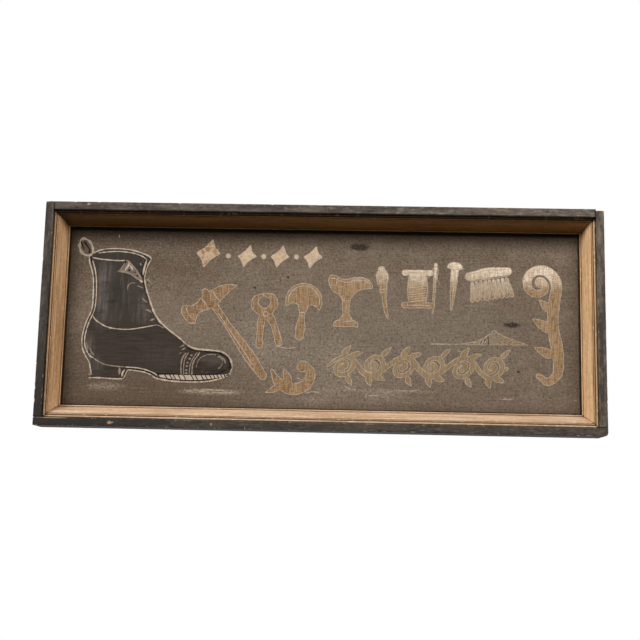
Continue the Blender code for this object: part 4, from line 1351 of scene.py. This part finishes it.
def spool():
    """A spool of waxed thread between broad flanges, with a threaded needle beside it."""
    right, left = [(24, 18), (24, -18), (20, -36)], [(-24, -18), (-24, 18), (-20, 36)]
    thread = outline([(20, 36)], right, [(-20, -36)], left)
    flanges = [stroke([(-33, z), (33, z)], (6.5, 6.5)) for z in (42, -42)]
    needle = stroke([(46, 64), (44, 20), (39, -60)], (3.0, 2.4, 1.0))
    turns = [[(-23, z - 3), (0, z - 1), (23, z + 3)] for z in range(-30, 31, 6)]
    edges = [[(-30, z), (30, z)] for z in (42, -42)]
    tail = [(23, 28), (34, 36), (40, 54), (46, 60), (52, 50), (50, 30), (56, 12)]
    return [needle, thread, *flanges], [*turns, *edges, tail]


def hobnail():
    """A square-shanked nail with a domed head."""
    shape = outline(
        [(-15, 56), (0, 61), (15, 56), (20, 46)],
        [(9, 43)],
        [(7, 0), (1, -62)],
        [(-1, -62)],
        [(-7, 0), (-9, 43)],
        [(-20, 46)],
    )
    return [shape], [[(1, 42), (1, 0), (0, -50)], [(-17, 47), (0, 43), (17, 47)]]


def shoe_brush():
    """A polishing brush with a round-ended back and rows of bristle tufts."""
    back = stroke([(-50, 27), (0, 30), (50, 27)], (9, 13, 9))
    places = range(-48, 49, 12)
    tufts = [stroke([(0.92 * x, 8), (1.04 * x, -34)], (3.4, 5.0)) for x in places]
    hairs = [[(0.93 * x + side, 4), (1.04 * x + 1.6 * side, -33)] for x in places for side in (-1.5, 1.5)]
    return [back, *tufts], [[(-52, 15), (0, 14), (52, 15)], [(-46, 33), (0, 37), (46, 33)], *hairs]


def swash():
    """A leafy scroll under the hammer's handle."""
    path = [(-122, -134), (-106, -162), (-72, -180), (-36, -168), (-24, -138), (-40, -118)]
    stem = stroke(path, (3, 10, 13, 13, 11, 8))
    return [leaf((-74, -172), 110, 46, 12), leaf((-96, -170), 205, 44, 9), stem, ellipse(-45, -122, 13, 13)]


def closing_scroll():
    """The right end's tall scroll, with a volute at its head and leaves up its stem."""
    rise = [(550, -136), (572, -150), (596, -128), (597, -70), (586, -10), (590, 50)]
    stem = stroke(rise + spiral((552, 98), 0, 400, 44, 13), (6, 11, 14, 13, 13, 13, 11, 9, 7))
    leaves = [leaf((590, -20), 150, 62, 15), leaf((594, -84), 158, 58, 14), leaf((588, 30), 140, 46, 13)]
    return [*leaves, stem, ellipse(556, 104, 13, 13)]


def rinceau():
    """A waving stem with a scroll in each hollow and leaves on its outer side."""
    wave = [(x, 24 * math.sin(math.tau * (x - 20) / 150)) for x in range(20, 471, 6)]
    parts = []
    for k in range(6):
        side = 1 if k % 2 == 0 else -1
        x = 57.5 + 75 * k
        curl = [(x + a, side * b) for a, b in spiral((0, -2), 40, -400, 27, 8)]
        parts += [
            stroke(curl, (5, 5, 4.5, 4), step=2),
            ellipse(x + 1, -side * 4, 7.5, 7.5),
            leaf((x - 8, side * 24), side * 62, 30, 9),
            leaf((x + 8, side * 22), side * 20, 34, side * 8),
            leaf((x + 16, side * -24), side * -52, 30, side * -7),
        ]
    return [*parts, stroke(wave, (3, 5.5, 5.5, 5.5, 3), step=2.4)]


def lozenge(half_width, half_height, hollow=0.42):
    """A diamond with hollow sides."""
    corners = [(half_width, 0), (0, -half_height), (-half_width, 0), (0, half_height)]
    a, b = hollow * half_width, hollow * half_height
    middles = [(a, b), (a, -b), (-a, -b), (-a, b)]
    return outline(*[[middle, corner] for middle, corner in zip(middles, corners)])


def rule_ornament():
    """A plain rule with a low rounded peak, hatched with short lines."""
    peak = [(360, -57), (400, -48), (420, -37), (438, -22)]
    shape = outline([(279, -58.5)], peak, [(462, -36), (500, -50), (522, -57)], [(279, -60)])
    return [shape], [[(x, -57), (x + 6, -50 + 0.18 * (x - 385))] for x in range(385, 420, 7)]


def tool_line(x):
    """How high the row of tools stands at x."""
    return 98 - 0.00025 * (500 - x) ** 2


def make_gilding():
    """Tools of the trade along a rising curve, with scrolls, a row of lozenges and a rinceau."""
    cream = painted("gilding_cream_line", cream_tint, worn=(0.56, 0.74), fade=0.12)
    gold = painted("gold_paint", gold_tint, worn=(0.68, 0.84), roughness=0.55)
    small_gold = painted("pale_gold_paint", small_gold_tint, worn=(0.66, 0.80), roughness=0.55)
    vine_gold = painted("dull_gold_paint", vine_tint, worn=(0.58, 0.76), fade=0.10, roughness=0.6)
    faded_gold = painted("faded_gold_paint", faded_gold_tint, worn=(0.44, 0.62), fade=0.35, roughness=0.6)
    mark = painted("rule_mark", soot_tint, worn=(0.60, 0.76), fade=0.12)
    gilt_motif("hammer", (gold, cream), *hammer(), at=(-285, 45), turn=36)
    gilt_motif("swash", (gold, cream), swash())
    for x, tool, turn in (
        (-140, pincers, 8),
        (-48, head_knife, -6),
        (62, last_on_jack, 0),
        (158, awl, 6),
        (244, spool, 0),
        (335, hobnail, -5),
        (428, shoe_brush, 9),
    ):
        gilt_motif(tool.__name__, (gold, cream), *tool(), at=(x, tool_line(x)), turn=turn)
    gilt_motif("closing_scroll", (gold, cream), closing_scroll())
    gilt_motif("rinceau", (vine_gold, cream), rinceau(), at=(0, -118), slant=0.25, width=1.3)
    diamonds = [moved(lozenge(30, 36), (-295, 166), slant=0.3)]
    diamonds += [moved(lozenge(23, 28), (x, 160), slant=0.3) for x in (-195, -110, -25)]
    dots = [ellipse(x, 160, 5, 5) for x in (-243, -152, -67)]
    gilt_motif("lozenges", (small_gold, cream), diamonds + dots, width=1.3)
    gilt_motif("rule_ornament", (faded_gold, cream), *rule_ornament(), width=1.1)
    strokes = [([(422, -36), (424, -47), (423, -60)], 1.3), ([(397, -50), (394, -57)], 1.0)]
    strokes += [([(407, -47), (404, -56)], 1.1), ([(415, -44), (413, -54)], 1.1)]
    paint_piece("rule_ornament_marks", mark, lines=strokes, stand=DETAIL_STAND)


def make_camera():
    """The photograph's viewpoint. The fit's axes are the sign's right, down and away from the viewer."""
    pitch, yaw, roll = [
        Matrix.Rotation(math.radians(turn), 3, axis) for turn, axis in zip(CAMERA_TURNS, "XYZ")
    ]
    right, down, away = [Vector((row.x, row.z, -row.y)) for row in roll @ yaw @ pitch]
    camera = bpy.data.cameras.new("photo_camera")
    camera.sensor_width = SENSOR_WIDTH
    camera.lens = FOCAL_PIXELS / PHOTO_WIDTH * SENSOR_WIDTH
    camera.shift_y = (PRINCIPAL_ROW - PHOTO_WIDTH / 2) / PHOTO_WIDTH
    camera.clip_end = 50
    turns = Matrix((right, -down, -away)).transposed().to_quaternion()
    obj = add_object("photo_camera", camera)
    obj.matrix_world = Matrix.LocRotScale(Vector(CAMERA_PLACE), turns, None)
    bpy.context.scene.camera = obj


def add_area_light(name, place, aim, size, power):
    light = bpy.data.lights.new(name, "AREA")
    light.shape = "DISK"
    light.size = size
    light.energy = power
    obj = add_object(name, light)
    obj.location = place
    obj.rotation_mode = "QUATERNION"
    obj.rotation_quaternion = (aim - place).to_track_quat("-Z", "Y")


def seen_directly(g):
    """1 for rays from the camera and for reflected or transmitted ones, and 0 for those that only light."""
    path = g.add("ShaderNodeLightPath").outputs
    seen = g.math("MAXIMUM", path["Is Camera Ray"], path["Is Glossy Ray"])
    return g.math("MAXIMUM", seen, path["Is Transmission Ray"])


def make_studio():
    """Two high soft lights, the stronger from the left, a dim sky in front and a brighter one behind."""
    sign = Vector((0, RAIL[0].y, PANEL_CENTRE[1]))
    for name, place, size, power in LIGHTS:
        add_area_light(name, sign + Vector(place), sign, size, power)
    world = bpy.data.worlds.new("studio")
    bpy.context.scene.world = world
    world.use_nodes = True
    g = Graph(world.node_tree, "Generated")
    rise = {"Value": g.axis("Y"), "From Max": 0.4, "To Min": 0.015, "To Max": 0.8}
    sky = g.add("ShaderNodeMapRange", rise).outputs["Result"]
    background = world.node_tree.nodes["Background"]
    g.put(background.inputs["Strength"], g.mix_value(seen_directly(g), sky, 1.0))
    g.put(background.inputs["Color"], (1, 1, 1))
    make_floor()


def make_floor():
    g = Finish("pale_floor")
    clouds = g.noise(0.6, 3)
    pale = g.mix(g.step(clouds, 0.3, 0.7), srgb(244, 243, 241), srgb(250, 249, 247))
    g.set(Base_Color=g.mix(seen_directly(g), srgb(64, 62, 60), pale), Roughness=0.9)
    bm = bmesh.new()
    bmesh.ops.create_grid(bm, x_segments=FLOOR_CELLS, y_segments=FLOOR_CELLS, size=FLOOR_HALF)
    floor = add_object("floor", mesh_of(bm, "floor"))
    floor.location = (0, 0, CAD_BOX[0].z - FLOOR_DROP)
    floor.data.materials.append(g.material)


def dress_metal():
    """Rusty finishes on the hangers and fasteners, which keep their own shapes."""
    hanger = rusty_iron("hanger_iron", (58, 54, 52), (112, 66, 40), 0.25)
    steel = rusty_iron("fastener_steel", (96, 90, 84), (118, 70, 42), 0.55)
    for name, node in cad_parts.items():
        if name.split("_")[0] in ("nail", "brad", "screw", "hanger"):
            hangs = "hanger_ring" in name or "hanger_strap" in name
            node.data.materials.clear()
            node.data.materials.append(hanger if hangs else steel)


make_camera()
make_studio()
make_frame()
make_mouldings()
make_panel()
make_battens()
make_boot()
make_gilding()
dress_metal()
bpy.context.scene.view_settings.view_transform = "Standard"
